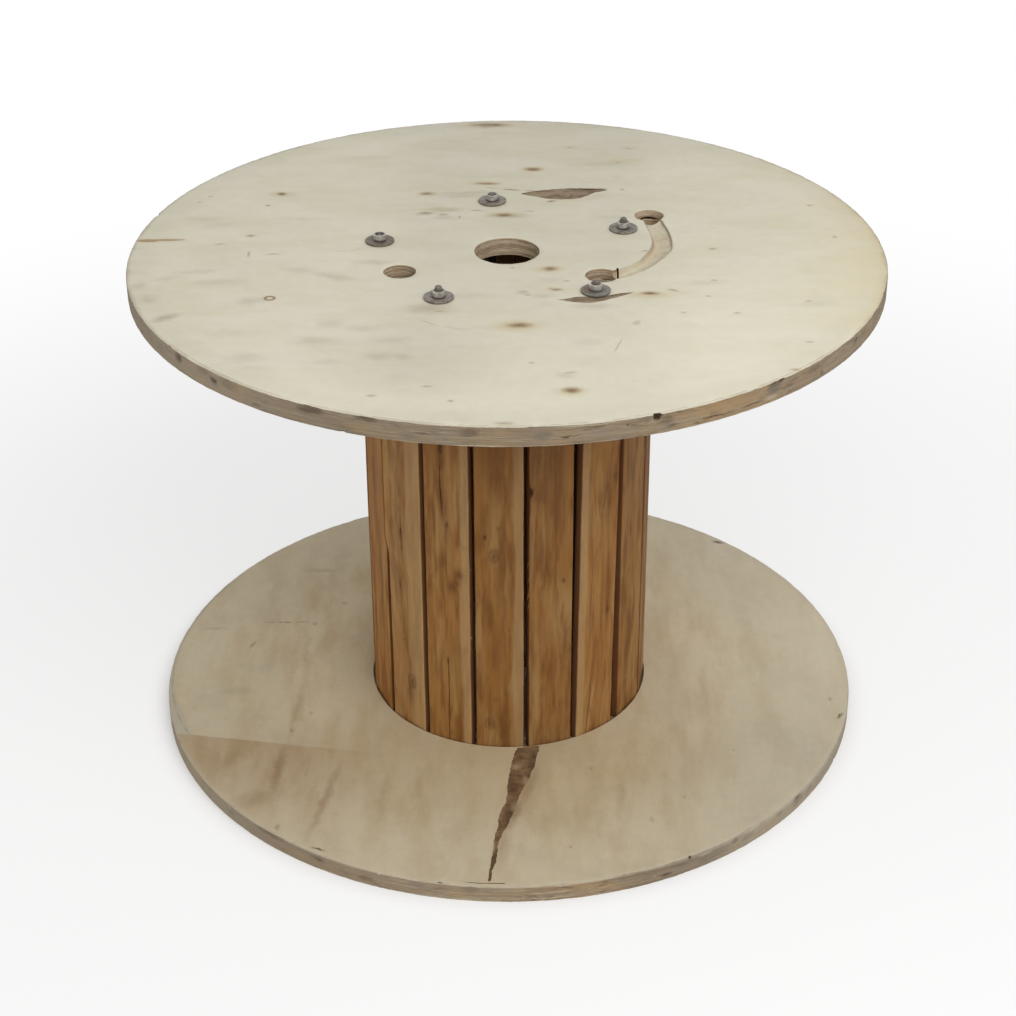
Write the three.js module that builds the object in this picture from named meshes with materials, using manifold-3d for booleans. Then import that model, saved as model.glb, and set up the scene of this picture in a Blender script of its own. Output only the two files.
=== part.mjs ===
// A wooden cable drum standing on its end: two plywood flanges, a barrel of upright staves let into
// a round channel in each flange, and five threaded rods that clamp the flanges together.
// Millimetres, +Z up along the drum's axis, origin at the centre of the underside.
import * as THREE from 'three';
import { mergeVertices } from 'three/addons/utils/BufferGeometryUtils.js';
import Module from 'manifold-3d';

const wasm = await Module();
wasm.setup();

// Flanges
const FLANGE_DIAMETER = 1050;
const FLANGE_THICKNESS = 26;
const OVERALL_HEIGHT = 726;
const RIM_CHAMFER = 1.5;
const SPINDLE_BORE = 90;
const RIM_SEGMENTS = 96;
const HOLE_SEGMENTS = 24;

// Barrel: flat staves whose corners come to 420 mm across
const STAVE_COUNT = 17;
const STAVE_FACE_RADIUS = 207;
const STAVE_THICKNESS = 15;
const STAVE_INNER_GAP = 2;
const STAVE_EDGE_CHAMFER = 1;
const FIRST_STAVE_ANGLE = -93.6;
const CHANNEL_DEPTH = 7;
const CHANNEL_CLEARANCE = 0.8;
const SEAT_GAP = 0.3;

// Staves that depart from the even pitch: millimetres narrower, millimetres of shift anticlockwise,
// and degrees out of plumb, top anticlockwise
const IRREGULAR_STAVES = {
  2: { narrower: 4, shift: -2, lean: 0 },
  3: { narrower: 1, shift: 0, lean: 0.7 },
  4: { narrower: 4, shift: 2, lean: 0 },
  9: { narrower: 3, shift: 0, lean: 0 },
  14: { narrower: 2, shift: 1, lean: -0.2 },
};

// Tie rods: the angle of each, and how far its end stands above its nut
const RODS = [
  { angle: 24.3, proud: 5.6 },
  { angle: 96.7, proud: 1.5 },
  { angle: 169.3, proud: -1 },
  { angle: 240, proud: 5.7 },
  { angle: 310.7, proud: 4.2 },
];
const ROD_DIAMETER = 10;
const ROD_HOLE_CLEARANCE = 1;
const ROD_TO_STAVE = 5;
const ROD_END_CHAMFER = 1.2;
const ROD_BELOW_NUT = 1.5;
const WASHER_DIAMETER = 41;
const WASHER_THICKNESS = 3;
const NUT_ACROSS_FLATS = 17;
const TOP_NUT_HEIGHT = 8.4;
const BOTTOM_NUT_HEIGHT = 5;
const NUT_TURN = 22;
const COUNTERBORE_CLEARANCE = 2;

// Drive-pin hole, through both flanges, inside the barrel
const DRIVE_HOLE_DIAMETER = 44;
const DRIVE_HOLE_TO_CHANNEL = 7;
const DRIVE_HOLE_ANGLE = -154.5;

// Cable-end path in the top flange: out through a hole beside the barrel, round in a groove on the
// outer face, and back through a hole inside the barrel
const CABLE_EXIT_DIAMETER = 41;
const CABLE_EXIT_TO_CHANNEL = 9;
const CABLE_EXIT_ANGLE = 31.5;
const CABLE_RETURN_DIAMETER = 44;
const CABLE_RETURN_TO_CHANNEL = 15;
const CABLE_RETURN_ANGLE = -33.5;
const GROOVE_WIDTH = 30;
const GROOVE_DEPTH = 11;
const GROOVE_FIRST_BEND_ANGLE = 15.6;
const GROOVE_FIRST_BEND_INSET = 11;
const GROOVE_SECOND_BEND_ANGLE = -9.5;
const GROOVE_STEPS = 22;

const finish = (name, color, roughness, metalness = 0) =>
  new THREE.MeshStandardMaterial({ name, color, roughness, metalness });
const plywood = finish('plywood', 0xd2c8aa, 0.8);
const staveWood = finish('stave_wood', 0x8a6238, 0.8);
const zinc = finish('zinc', 0xb4b0a8, 0.45, 0.9);
const dullSteel = finish('dull_steel', 0x7d736c, 0.6, 0.8);

const radians = THREE.MathUtils.degToRad;
const CUT_MARGIN = 5;

// The stations up the drum's axis
const flangeRadius = FLANGE_DIAMETER / 2;
const topFlangeUnderside = OVERALL_HEIGHT - FLANGE_THICKNESS;

// The staves' places
const stavePitch = 360 / STAVE_COUNT;
const staveInnerRadius = STAVE_FACE_RADIUS - STAVE_THICKNESS;
const staveWidth = 2 * staveInnerRadius * Math.tan(radians(stavePitch / 2)) - STAVE_INNER_GAP;
const staveSpan = topFlangeUnderside - FLANGE_THICKNESS + 2 * (CHANNEL_DEPTH - SEAT_GAP);
const staves = Array.from({ length: STAVE_COUNT }, (_, index) => {
  const number = index + 1;
  const { narrower = 0, shift = 0, lean = 0 } = IRREGULAR_STAVES[number] ?? {};
  const angle = FIRST_STAVE_ANGLE + index * stavePitch;
  return { number, angle, width: staveWidth - narrower, shift, lean };
});

// The channel takes the stave corner that reaches farthest out, and the inner faces
const sideReach = ({ width, shift, lean }) =>
  width / 2 + Math.abs(shift) + (staveSpan / 2) * Math.sin(Math.abs(radians(lean)));
const barrelRadius = Math.max(...staves.map((stave) => Math.hypot(STAVE_FACE_RADIUS, sideReach(stave))));
const channelOuterRadius = barrelRadius + CHANNEL_CLEARANCE;
const channelInnerRadius = staveInnerRadius - CHANNEL_CLEARANCE;

// Places on the flanges that follow the barrel
const rodCircleRadius = staveInnerRadius - ROD_TO_STAVE - ROD_DIAMETER / 2;
const onFace = (radius, angle) =>
  new THREE.Vector2(radius * Math.cos(radians(angle)), radius * Math.sin(radians(angle)));
const driveHoleRadius = channelInnerRadius - DRIVE_HOLE_TO_CHANNEL - DRIVE_HOLE_DIAMETER / 2;
const driveHole = onFace(driveHoleRadius, DRIVE_HOLE_ANGLE);
const cableExitRadius = channelOuterRadius + CABLE_EXIT_TO_CHANNEL + CABLE_EXIT_DIAMETER / 2;
const cableExit = onFace(cableExitRadius, CABLE_EXIT_ANGLE);
const cableReturnRadius = channelInnerRadius - CABLE_RETURN_TO_CHANNEL - CABLE_RETURN_DIAMETER / 2;
const cableReturn = onFace(cableReturnRadius, CABLE_RETURN_ANGLE);

// The stack on each rod: nut and washer in a counterbore below, washer and nut above
const counterboreDepth = COUNTERBORE_CLEARANCE + ROD_BELOW_NUT + BOTTOM_NUT_HEIGHT + WASHER_THICKNESS;
const bottomWasherTop = counterboreDepth - SEAT_GAP;
const bottomNutTop = bottomWasherTop - WASHER_THICKNESS - SEAT_GAP;
const rodBottom = bottomNutTop - BOTTOM_NUT_HEIGHT - ROD_BELOW_NUT;
const topWasherBottom = OVERALL_HEIGHT + SEAT_GAP;
const topNutBottom = topWasherBottom + WASHER_THICKNESS + SEAT_GAP;
const rodHoleRadius = (ROD_DIAMETER + ROD_HOLE_CLEARANCE) / 2;

/** A geometry as a solid that can be joined and cut. */
function solid(geometry) {
  const bare = geometry.clone();
  bare.deleteAttribute('normal');
  bare.deleteAttribute('uv');
  const merged = mergeVertices(bare, 1e-4);
  return new wasm.Manifold(new wasm.Mesh({
    numProp: 3,
    vertProperties: new Float32Array(merged.attributes.position.array),
    triVerts: new Uint32Array(merged.index.array),
  }));
}

/** A solid back as a geometry. */
function geometryOf(body) {
  const mesh = body.getMesh();
  const geometry = new THREE.BufferGeometry();
  geometry.setAttribute('position', new THREE.BufferAttribute(mesh.vertProperties, 3));
  geometry.setIndex(new THREE.BufferAttribute(mesh.triVerts, 1));
  geometry.computeVertexNormals();
  return geometry;
}

/** An upright round body from its profile, a list of [radius, z]. */
function turned(profile, segments) {
  const points = profile.map(([radius, z]) => new THREE.Vector2(radius, z));
  return new THREE.LatheGeometry(points, segments).rotateX(Math.PI / 2);
}

/** A ring, or a disc with a hole, from z = low to z = high, with its edges chamfered. */
function ring(innerRadius, outerRadius, low, high, segments, chamfer = 0) {
  const profile = [[innerRadius, low]];
  if (chamfer > 0) {
    profile.push([outerRadius - chamfer, low], [outerRadius, low + chamfer]);
    profile.push([outerRadius, high - chamfer], [outerRadius - chamfer, high]);
  } else {
    profile.push([outerRadius, low], [outerRadius, high]);
  }
  profile.push([innerRadius, high], [innerRadius, low]);
  return turned(profile, segments);
}

/** An upright cylinder at a place on the face, from z = low to z = high; six segments make a hexagon. */
function post(place, radius, low, high, segments = HOLE_SEGMENTS) {
  const geometry = new THREE.CylinderGeometry(radius, radius, high - low, segments);
  return geometry.rotateX(Math.PI / 2).translate(place.x, place.y, (low + high) / 2);
}

/** The groove's cutter: steep inner wall, floor that rises to the outer edge, swept from hole to hole. */
function grooveCutter() {
  const above = new THREE.Vector3(0, 0, OVERALL_HEIGHT);
  const at = (place) => new THREE.Vector3(place.x, place.y, 0).add(above);
  const path = new THREE.CubicBezierCurve3(
    at(cableExit),
    at(onFace(cableExitRadius - GROOVE_FIRST_BEND_INSET, GROOVE_FIRST_BEND_ANGLE)),
    at(onFace(cableExitRadius, GROOVE_SECOND_BEND_ANGLE)),
    at(cableReturn),
  );
  const half = GROOVE_WIDTH / 2;
  const section = new THREE.Shape();  // x is depth below the face, y is towards the outer edge
  section.moveTo(-CUT_MARGIN, -half);
  section.lineTo(GROOVE_DEPTH * 0.7, -half);
  section.quadraticCurveTo(GROOVE_DEPTH, -half, GROOVE_DEPTH, -half * 0.6);
  section.quadraticCurveTo(GROOVE_DEPTH, half * 0.6, 0, half);
  section.lineTo(-CUT_MARGIN, half);
  return new THREE.ExtrudeGeometry(section, { steps: GROOVE_STEPS, curveSegments: 4, extrudePath: path });
}

/** Cuts a list of geometries out of another. */
function cut(geometry, cutters) {
  return geometryOf(cutters.reduce((body, cutter) => body.subtract(solid(cutter)), solid(geometry)));
}

/** What both flanges have cut right through them, besides the spindle bore. */
function throughHoles(low, high) {
  const from = low - CUT_MARGIN;
  const to = high + CUT_MARGIN;
  const holes = RODS.map(({ angle }) => post(onFace(rodCircleRadius, angle), rodHoleRadius, from, to));
  return [...holes, post(driveHole, DRIVE_HOLE_DIAMETER / 2, from, to)];
}

function flangeDisc(low, high) {
  return ring(SPINDLE_BORE / 2, flangeRadius, low, high, RIM_SEGMENTS, RIM_CHAMFER);
}

function topFlange() {
  const low = topFlangeUnderside;
  const high = OVERALL_HEIGHT;
  const to = high + CUT_MARGIN;
  return cut(flangeDisc(low, high), [
    ...throughHoles(low, high),
    ring(channelInnerRadius, channelOuterRadius, low - CUT_MARGIN, low + CHANNEL_DEPTH, RIM_SEGMENTS),
    post(cableExit, CABLE_EXIT_DIAMETER / 2, low - CUT_MARGIN, to),
    post(cableReturn, CABLE_RETURN_DIAMETER / 2, low - CUT_MARGIN, to),
    grooveCutter(),
  ]);
}

function bottomFlange() {
  const high = FLANGE_THICKNESS;
  const recessRadius = WASHER_DIAMETER / 2 + COUNTERBORE_CLEARANCE;
  const recesses = RODS.map(({ angle }) =>
    post(onFace(rodCircleRadius, angle), recessRadius, -CUT_MARGIN, counterboreDepth));
  return cut(flangeDisc(0, high), [
    ...throughHoles(0, high),
    ring(channelInnerRadius, channelOuterRadius, high - CHANNEL_DEPTH, high + CUT_MARGIN, RIM_SEGMENTS),
    ...recesses,
  ]);
}

/** A flat board with its long outer edges eased, its outer face towards +Y, short enough to lean. */
function staveBoard(width, lean) {
  const half = width / 2;
  const length = (staveSpan - width * Math.sin(Math.abs(radians(lean)))) / Math.cos(radians(lean));
  const outline = new THREE.Shape([
    new THREE.Vector2(-half, -STAVE_THICKNESS),
    new THREE.Vector2(half, -STAVE_THICKNESS),
    new THREE.Vector2(half, -STAVE_EDGE_CHAMFER),
    new THREE.Vector2(half - STAVE_EDGE_CHAMFER, 0),
    new THREE.Vector2(-half + STAVE_EDGE_CHAMFER, 0),
    new THREE.Vector2(-half, -STAVE_EDGE_CHAMFER),
  ]);
  const board = new THREE.ExtrudeGeometry(outline, { depth: length, bevelEnabled: false });
  return board.translate(0, 0, -length / 2);
}

/** A plain round rod, from z = low to z = high, with a chamfer at each end. */
function tieRod(low, high) {
  const radius = ROD_DIAMETER / 2;
  return turned([
    [0, low], [radius - ROD_END_CHAMFER, low], [radius, low + ROD_END_CHAMFER],
    [radius, high - ROD_END_CHAMFER], [radius - ROD_END_CHAMFER, high], [0, high],
  ], HOLE_SEGMENTS);
}

/** A hexagon nut standing on z = 0, its corners rounded off to a cone above and below. */
function hexagonNut(height) {
  const cornerRadius = NUT_ACROSS_FLATS / Math.sqrt(3);
  const cornerDrop = (cornerRadius - NUT_ACROSS_FLATS / 2) * 0.6;
  const blank = solid(post(new THREE.Vector2(), cornerRadius, 0, height, 6));
  const boreRadius = ROD_DIAMETER / 2 + SEAT_GAP;
  const envelope = solid(ring(boreRadius, cornerRadius, 0, height, HOLE_SEGMENTS, cornerDrop));
  return geometryOf(blank.intersect(envelope));
}

const drum = new THREE.Group();

function place(name, geometry, material, parent = drum) {
  const mesh = new THREE.Mesh(geometry, material);
  mesh.name = name;
  parent.add(mesh);
  return mesh;
}

place('top_flange', topFlange(), plywood);
place('bottom_flange', bottomFlange(), plywood);

for (const { number, angle, width, shift, lean } of staves) {
  const station = new THREE.Group();
  station.rotation.z = radians(angle - 90);
  const name = `stave_${String(number).padStart(2, '0')}`;
  const stave = place(name, staveBoard(width, lean), staveWood, station);
  stave.position.set(-shift, STAVE_FACE_RADIUS, OVERALL_HEIGHT / 2);
  stave.rotation.y = -radians(lean);
  drum.add(station);
}

const washerRadius = WASHER_DIAMETER / 2;
const washerChamfer = WASHER_THICKNESS / 6;
const washer = ring(rodHoleRadius, washerRadius, 0, WASHER_THICKNESS, HOLE_SEGMENTS, washerChamfer);
const topNut = hexagonNut(TOP_NUT_HEIGHT);
const bottomNut = hexagonNut(BOTTOM_NUT_HEIGHT);

RODS.forEach(({ angle, proud }, index) => {
  const number = index + 1;
  const station = new THREE.Group();
  const { x, y } = onFace(rodCircleRadius, angle);
  station.position.set(x, y, 0);
  const stack = (name, geometry, material, bottom) => {
    const mesh = place(`${name}_${number}`, geometry, material, station);
    mesh.position.z = bottom;
    return mesh;
  };
  const rodTop = topNutBottom + TOP_NUT_HEIGHT + proud;
  place(`tie_rod_${number}`, tieRod(rodBottom, rodTop), dullSteel, station);
  stack('bottom_nut', bottomNut, zinc, bottomNutTop - BOTTOM_NUT_HEIGHT);
  stack('bottom_washer', washer, dullSteel, bottomWasherTop - WASHER_THICKNESS);
  stack('top_washer', washer, dullSteel, topWasherBottom);
  stack('top_nut', topNut, zinc, topNutBottom).rotation.z = radians(index * NUT_TURN);
  drum.add(station);
});

export default drum;
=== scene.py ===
import math

import bmesh
import bpy
import numpy as np
from mathutils import Matrix, Vector
from mathutils.geometry import delaunay_2d_cdt


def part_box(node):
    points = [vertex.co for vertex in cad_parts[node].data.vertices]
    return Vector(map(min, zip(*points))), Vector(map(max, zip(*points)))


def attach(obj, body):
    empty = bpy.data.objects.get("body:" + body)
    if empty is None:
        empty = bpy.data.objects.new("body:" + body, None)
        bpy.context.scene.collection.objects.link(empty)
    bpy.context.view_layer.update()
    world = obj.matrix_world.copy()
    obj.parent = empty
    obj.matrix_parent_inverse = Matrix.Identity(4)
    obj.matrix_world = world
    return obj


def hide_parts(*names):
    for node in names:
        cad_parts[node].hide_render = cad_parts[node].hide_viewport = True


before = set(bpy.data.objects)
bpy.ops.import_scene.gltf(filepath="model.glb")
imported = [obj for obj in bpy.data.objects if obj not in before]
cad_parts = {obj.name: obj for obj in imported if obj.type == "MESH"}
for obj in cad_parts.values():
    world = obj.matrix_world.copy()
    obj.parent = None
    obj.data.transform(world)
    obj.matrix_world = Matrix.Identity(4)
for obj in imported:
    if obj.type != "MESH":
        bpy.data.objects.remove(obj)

# Lengths here are millimetres until a mesh is made, because that is how the drum is dimensioned.
MM = 0.001
TURN = 2 * math.pi
# How far apart the rows of a triangular grid are, in spacings
GRID_ROWS = 0.866


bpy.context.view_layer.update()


def extent(node):
    """A CAD node's lowest and highest corners, in millimetres."""
    low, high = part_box(node)
    return np.array(low) / MM, np.array(high) / MM


# ---------------------------------------------------------------- seeded noise for shapes


class Waves:
    """Smooth noise of two coordinates, about -1 to 1: a sum of sines of many wavelengths."""

    def __init__(self, seed, longest, shortest, count):
        rng = np.random.default_rng(seed)
        lengths = np.geomspace(longest, shortest, count)
        ways = rng.uniform(0, TURN, count)
        self.kx = np.cos(ways) * TURN / lengths
        self.ky = np.sin(ways) * TURN / lengths
        self.phase = rng.uniform(0, TURN, count)
        weights = np.sqrt(lengths)
        self.weights = weights / np.sqrt((weights ** 2).sum() / 2) / 1.6

    def __call__(self, x, y):
        waves = zip(self.kx, self.ky, self.phase, self.weights)
        return sum(weight * np.sin(kx * x + ky * y + phase) for kx, ky, phase, weight in waves)


def rough(seed, count, width, rows=1):
    """Rows of noise that close on themselves, smooth over about width samples, of spread 1."""
    raw = np.random.default_rng(seed).standard_normal((rows, count))
    kept = np.exp(-((np.fft.rfftfreq(count) * width * 2.2) ** 2))
    smooth = np.fft.irfft(np.fft.rfft(raw, axis=1) * kept, count, axis=1)
    return smooth / smooth.std(axis=1, keepdims=True)


def ease(value, low, high):
    """0 below low, 1 above high, and a smooth step between them."""
    t = np.clip((value - low) / (high - low), 0, 1)
    return t * t * (3 - 2 * t)


def bell(value, width):
    """1 at 0, falling to nothing over a few widths."""
    return np.exp(-(value / width) ** 2)


# ---------------------------------------------------------------- points and meshes


def angles(count):
    """Angles that go evenly once round."""
    return np.arange(count) * TURN / count


def circle(x, y, radius, count):
    """Points round a circle, anticlockwise; radius may be one value a point."""
    angle = angles(count)
    return np.column_stack([x + radius * np.cos(angle), y + radius * np.sin(angle)])


def lifted(points, z):
    """Points of the plan at a height, or at one height a point."""
    return np.column_stack([points, np.broadcast_to(z, (len(points),))])


class Shell:
    """A closed surface gathered from patches that share the points along their borders."""

    def __init__(self):
        self.points, self.faces, self.zones, self.count = [], [], [], 0
        self.values = {}

    def add(self, points, faces, zone=0, **values):
        """Adds faces of one material, with values for each of their points."""
        points = np.asarray(points, float)
        self.points.append(points)
        self.faces += [[index + self.count for index in face] for face in faces]
        self.zones += [zone] * len(faces)
        for name, column in values.items():
            part = np.asarray(column, float).reshape(len(points), -1)
            self.values.setdefault(name, []).append((self.count, part))
        self.count += len(points)

    def band(self, rows, zone=0, **values):
        """Squares between successive closed rows of points."""
        rows = np.asarray(rows, float)
        many, each = rows.shape[:2]
        index = np.arange(many * each).reshape(many, each)
        after = np.roll(index, -1, axis=1)
        quads = np.stack([index[:-1], after[:-1], after[1:], index[1:]], axis=-1).reshape(-1, 4)
        self.add(rows.reshape(-1, 3), quads.tolist(), zone, **values)

    def cap(self, ring, inset, **values):
        """Closes a ring: a band a share of the way to its middle, and a fan to the middle."""
        middle = ring.mean(axis=0, keepdims=True)
        inner = ring * (1 - inset) + middle * inset
        self.band([ring, inner], **{name: [column, column] for name, column in values.items()})
        count = len(ring)
        fan = [[index, (index + 1) % count, count] for index in range(count)]
        values = {name: np.concatenate([column, column.mean(axis=0, keepdims=True)])
                  for name, column in values.items()}
        self.add(np.vstack([inner, middle]), fan, **values)

    def build(self, name, materials, sharp):
        """The piece: near points merged, faces outwards, sharp where it turns that many degrees."""
        points = np.concatenate(self.points)
        _, first, back = np.unique(np.round(points, 3), axis=0, return_index=True,
                                   return_inverse=True)
        back = back.ravel()
        faces, zones = [], []
        for face, zone in zip(self.faces, self.zones):
            kept = list(dict.fromkeys(back[face].tolist()))
            if len(kept) > 2:
                faces.append(kept)
                zones.append(zone)
        mesh = bpy.data.meshes.new(name)
        mesh.from_pydata((points[first] * MM).tolist(), [], faces)
        for material in materials:
            mesh.materials.append(material)
        mesh.polygons.foreach_set("material_index", zones)
        for attribute, rows in self.values.items():
            wide = rows[0][1].shape[1]
            column = np.zeros((self.count, wide))
            for start, part in rows:
                column[start:start + len(part)] = part
            kind, slot = ("FLOAT", "value") if wide == 1 else ("FLOAT_VECTOR", "vector")
            layer = mesh.attributes.new(attribute, kind, "POINT")
            layer.data.foreach_set(slot, column[first].astype(np.float32).ravel())
        work = bmesh.new()
        work.from_mesh(mesh)
        bmesh.ops.recalc_face_normals(work, faces=work.faces)
        work.to_mesh(mesh)
        work.free()
        mesh.update()
        mesh.shade_smooth()
        mesh.set_sharp_from_angle(angle=math.radians(sharp))
        return linked(name, mesh)


def linked(name, data):
    """An object for the data, put in the scene."""
    made = bpy.data.objects.new(name, data)
    bpy.context.scene.collection.objects.link(made)
    return made


def inside(points, loop):
    """Which points lie inside a closed loop."""
    x, y = points.T
    result = np.zeros(len(points), bool)
    ax, ay = loop.T
    where = np.flatnonzero((x > ax.min()) & (x < ax.max()) & (y > ay.min()) & (y < ay.max()))
    for x0, y0, x1, y1 in zip(ax, ay, np.roll(ax, -1), np.roll(ay, -1)):
        if y0 != y1:
            crosses = (y0 > y[where]) != (y1 > y[where])
            reach = (x1 - x0) * (y[where] - y0) / (y1 - y0) + x0
            result[where] ^= crosses & (x[where] < reach)
    return result


def triangulate(loops, loose):
    """Triangles over loops and loose points in the plane: (points in that order, triangles)."""
    points = np.concatenate([*loops, loose])
    edges, start = [], 0
    for loop in loops:
        index = list(range(start, start + len(loop)))
        edges += zip(index, index[1:] + index[:1])
        start += len(loop)
    flat = [Vector(point) for point in points.tolist()]
    found, _, triangles, *_ = delaunay_2d_cdt(flat, edges, [], 0, 1e-6, False)
    if len(found) != len(points):
        raise RuntimeError(f"loops cross: {len(found)} points from {len(points)}")
    return np.array(found), np.array(triangles)


def scatter(radius, spacing, seed):
    """Jittered points over a disc."""
    across = np.arange(-radius, radius, spacing)
    grid = np.array([(x + (row % 2) * spacing / 2, y)
                     for row, y in enumerate(np.arange(-radius, radius, spacing * GRID_ROWS))
                     for x in across])
    grid += np.random.default_rng(seed).uniform(-0.18, 0.18, grid.shape) * spacing
    return grid[np.hypot(*grid.T) < radius]


def clear_of(points, loop, margin):
    """The points that are at least margin from every point of a loop."""
    near = ((points > loop.min(0) - margin) & (points < loop.max(0) + margin)).all(1)
    kept = [not close or np.hypot(*(loop - point).T).min() >= margin
            for point, close in zip(points, near)]
    return points[np.array(kept, bool)]


# ---------------------------------------------------------------- materials as expressions


def rgb(*screen):
    """A colour from its 0 to 255 screen values, as the linear colour that shaders take."""
    return *(((v / 255 + 0.055) / 1.055) ** 2.4 if v > 10 else v / 255 / 12.92 for v in screen), 1.0


def operator(operation, swapped=False):
    """What a Val does for one of Python's operators: it makes a maths node."""
    def made(self, other=0.0):
        return self.net.math(operation, *((other, self) if swapped else (self, other)))
    return made


class Val:
    """A socket that adds, subtracts, multiplies and divides by making nodes."""

    def __init__(self, net, socket):
        self.net, self.socket = net, socket

    __add__ = __radd__ = operator("ADD")
    __mul__ = __rmul__ = operator("MULTIPLY")
    __sub__, __rsub__ = operator("SUBTRACT"), operator("SUBTRACT", True)
    __truediv__, __abs__ = operator("DIVIDE"), operator("ABSOLUTE")


class Net:
    """A node tree made by expressions, and the colour that is being painted in it."""

    # Where a Mix node that mixes colours has its share, its two colours and its result
    SHARE, UNDER, OVER, RESULT = 0, 6, 7, 2

    def __init__(self, owner):
        owner.use_nodes = True
        self.owner, self.tree = owner, owner.node_tree
        self.tree.nodes.clear()
        self.colour = None

    def set(self, socket, value):
        """Gives an input a value, or links another node's output to it."""
        if isinstance(value, Val):
            self.tree.links.new(value.socket, socket)
        else:
            socket.default_value = value

    def node(self, kind, inputs, output=0, **settings):
        """Makes a node with those inputs and settings, and gives one of its outputs."""
        made = self.tree.nodes.new(kind)
        for key, value in settings.items():
            setattr(made, key, value)
        for key, value in inputs.items():
            self.set(made.inputs[key], value)
        return Val(self, made.outputs[output]) if len(made.outputs) else None

    def math(self, operation, a, b=0.0):
        return self.node("ShaderNodeMath", {0: a, 1: b}, operation=operation)

    def vector(self, operation, a, b=(0, 0, 0), output=0):
        return self.node("ShaderNodeVectorMath", {0: a, 1: b}, output, operation=operation)

    def length(self, vector):
        return self.vector("LENGTH", vector, output="Value")

    def place(self):
        """Where the point is, in millimetres."""
        here = self.node("ShaderNodeTexCoord", {}, "Object")
        return self.vector("MULTIPLY", here, (1 / MM,) * 3)

    def split(self, vector):
        made = self.tree.nodes.new("ShaderNodeSeparateXYZ")
        self.set(made.inputs[0], vector)
        return (Val(self, output) for output in made.outputs)

    def join(self, x, y, z=0.0):
        return self.node("ShaderNodeCombineXYZ", {0: x, 1: y, 2: z})

    def plan(self):
        """The point's x and y, and both as a vector."""
        x, y, _ = self.split(self.place())
        return x, y, self.join(x, y)

    def scaled(self, vector, x, y, z=1.0):
        return self.vector("MULTIPLY", vector, (x, y, z))

    def noise(self, vector, detail=3, roughness=0.5, output="Fac"):
        inputs = {"Vector": vector, "Scale": 1.0, "Detail": detail, "Roughness": roughness}
        return self.node("ShaderNodeTexNoise", inputs, output)

    def cloud(self, vector, sizes, *kind):
        """Noise whose patches are about that many millimetres across, along each axis."""
        return self.noise(self.scaled(vector, *(1 / size for size in sizes)), *kind)

    def dots(self, vector, core, rim):
        """Dots scattered about 1 apart, fading between those distances from their middles."""
        away = self.node("ShaderNodeTexVoronoi", {"Vector": vector, "Scale": 1.0}, "Distance")
        return self.ease(away, core, rim, 1, 0)

    def most(self, first, *others):
        """The largest of several values."""
        for value in others:
            first = self.math("MAXIMUM", first, value)
        return first

    def attribute(self, name, output="Fac"):
        return self.node("ShaderNodeAttribute", {}, output, attribute_name=name)

    def ease(self, value, low, high, start=0.0, end=1.0):
        """start below low, end above high, and a smooth step between them."""
        inputs = {"Value": value, "From Min": low, "From Max": high, "To Min": start, "To Max": end}
        return self.node("ShaderNodeMapRange", inputs, interpolation_type="SMOOTHSTEP")

    def mix(self, share, under, over):
        inputs = {self.SHARE: share, self.UNDER: under, self.OVER: over}
        return self.node("ShaderNodeMix", inputs, self.RESULT, data_type="RGBA")

    def base(self, share, under, over):
        """Starts the colour: from one screen colour to another, by share."""
        self.colour = self.mix(share, rgb(*under), rgb(*over))

    def paint(self, share, *screen):
        """Lays a screen colour over the colour, by share."""
        self.colour = self.mix(share, self.colour, rgb(*screen))

    def tone(self, factor):
        """Makes the colour lighter or darker by a factor."""
        inputs = {0: self.colour, "Scale": factor}
        self.colour = self.node("ShaderNodeVectorMath", inputs, operation="SCALE")

    def warped(self, vector, size, amount):
        """Places pushed about by noise, so that what is drawn at them has ragged edges."""
        push = self.cloud(vector, (size, size), 3, 0.6, "Color")
        push = self.vector("SUBTRACT", push, (0.5, 0.5, 0.5))
        return self.vector("ADD", vector, self.scaled(push, 2 * amount, 2 * amount, 0.0))

    def oval(self, plan, x, y, length, width, angle):
        """How far the point is from an ellipse's middle, in its half-sizes: 1 on its outline."""
        if angle:
            cos, sin = math.cos(math.radians(angle)), math.sin(math.radians(angle))
            rows = ((cos / length, sin / length), (-sin / width, cos / width))
            here = self.join(*(
                self.vector("DOT_PRODUCT", plan, (a, b, 0), "Value") - (a * x + b * y)
                for a, b in rows))
        else:
            here = self.scaled(self.vector("SUBTRACT", plan, (x, y, 0)), 1 / length, 1 / width)
        return self.length(here)

    def spots(self, plan, core, rim, rows):
        """The strongest of several ellipses, each fading out between core and rim of its size.

        A row is x, y, half-length, half-width, strength, and an angle where it is turned.
        """
        return self.most(*(
            self.ease(self.oval(plan, x, y, length, width, sum(turn)), core, rim, 1, 0) * strength
            for x, y, length, width, strength, *turn in rows))

    def finish(self, roughness, specular, bump=None, height=0.0, metallic=0.0):
        """The material, with the colour and a bump whose value 1 stands height millimetres high."""
        inputs = {"Base Color": self.colour, "Roughness": roughness, "Metallic": metallic,
                  "Specular IOR Level": specular}
        if bump is not None:
            bumped = {"Height": bump, "Distance": height * MM, "Strength": 1.0}
            inputs["Normal"] = self.node("ShaderNodeBump", bumped)
        self.show("Material", self.node("ShaderNodeBsdfPrincipled", inputs))
        return self.owner

    def show(self, kind, surface):
        """Sends a surface to the tree's output."""
        self.node("ShaderNodeOutput" + kind, {"Surface": surface})


def painted(name):
    """The nodes of a new material."""
    return Net(bpy.data.materials.new(name))


# ---------------------------------------------------------------- the drum's own sizes

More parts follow.
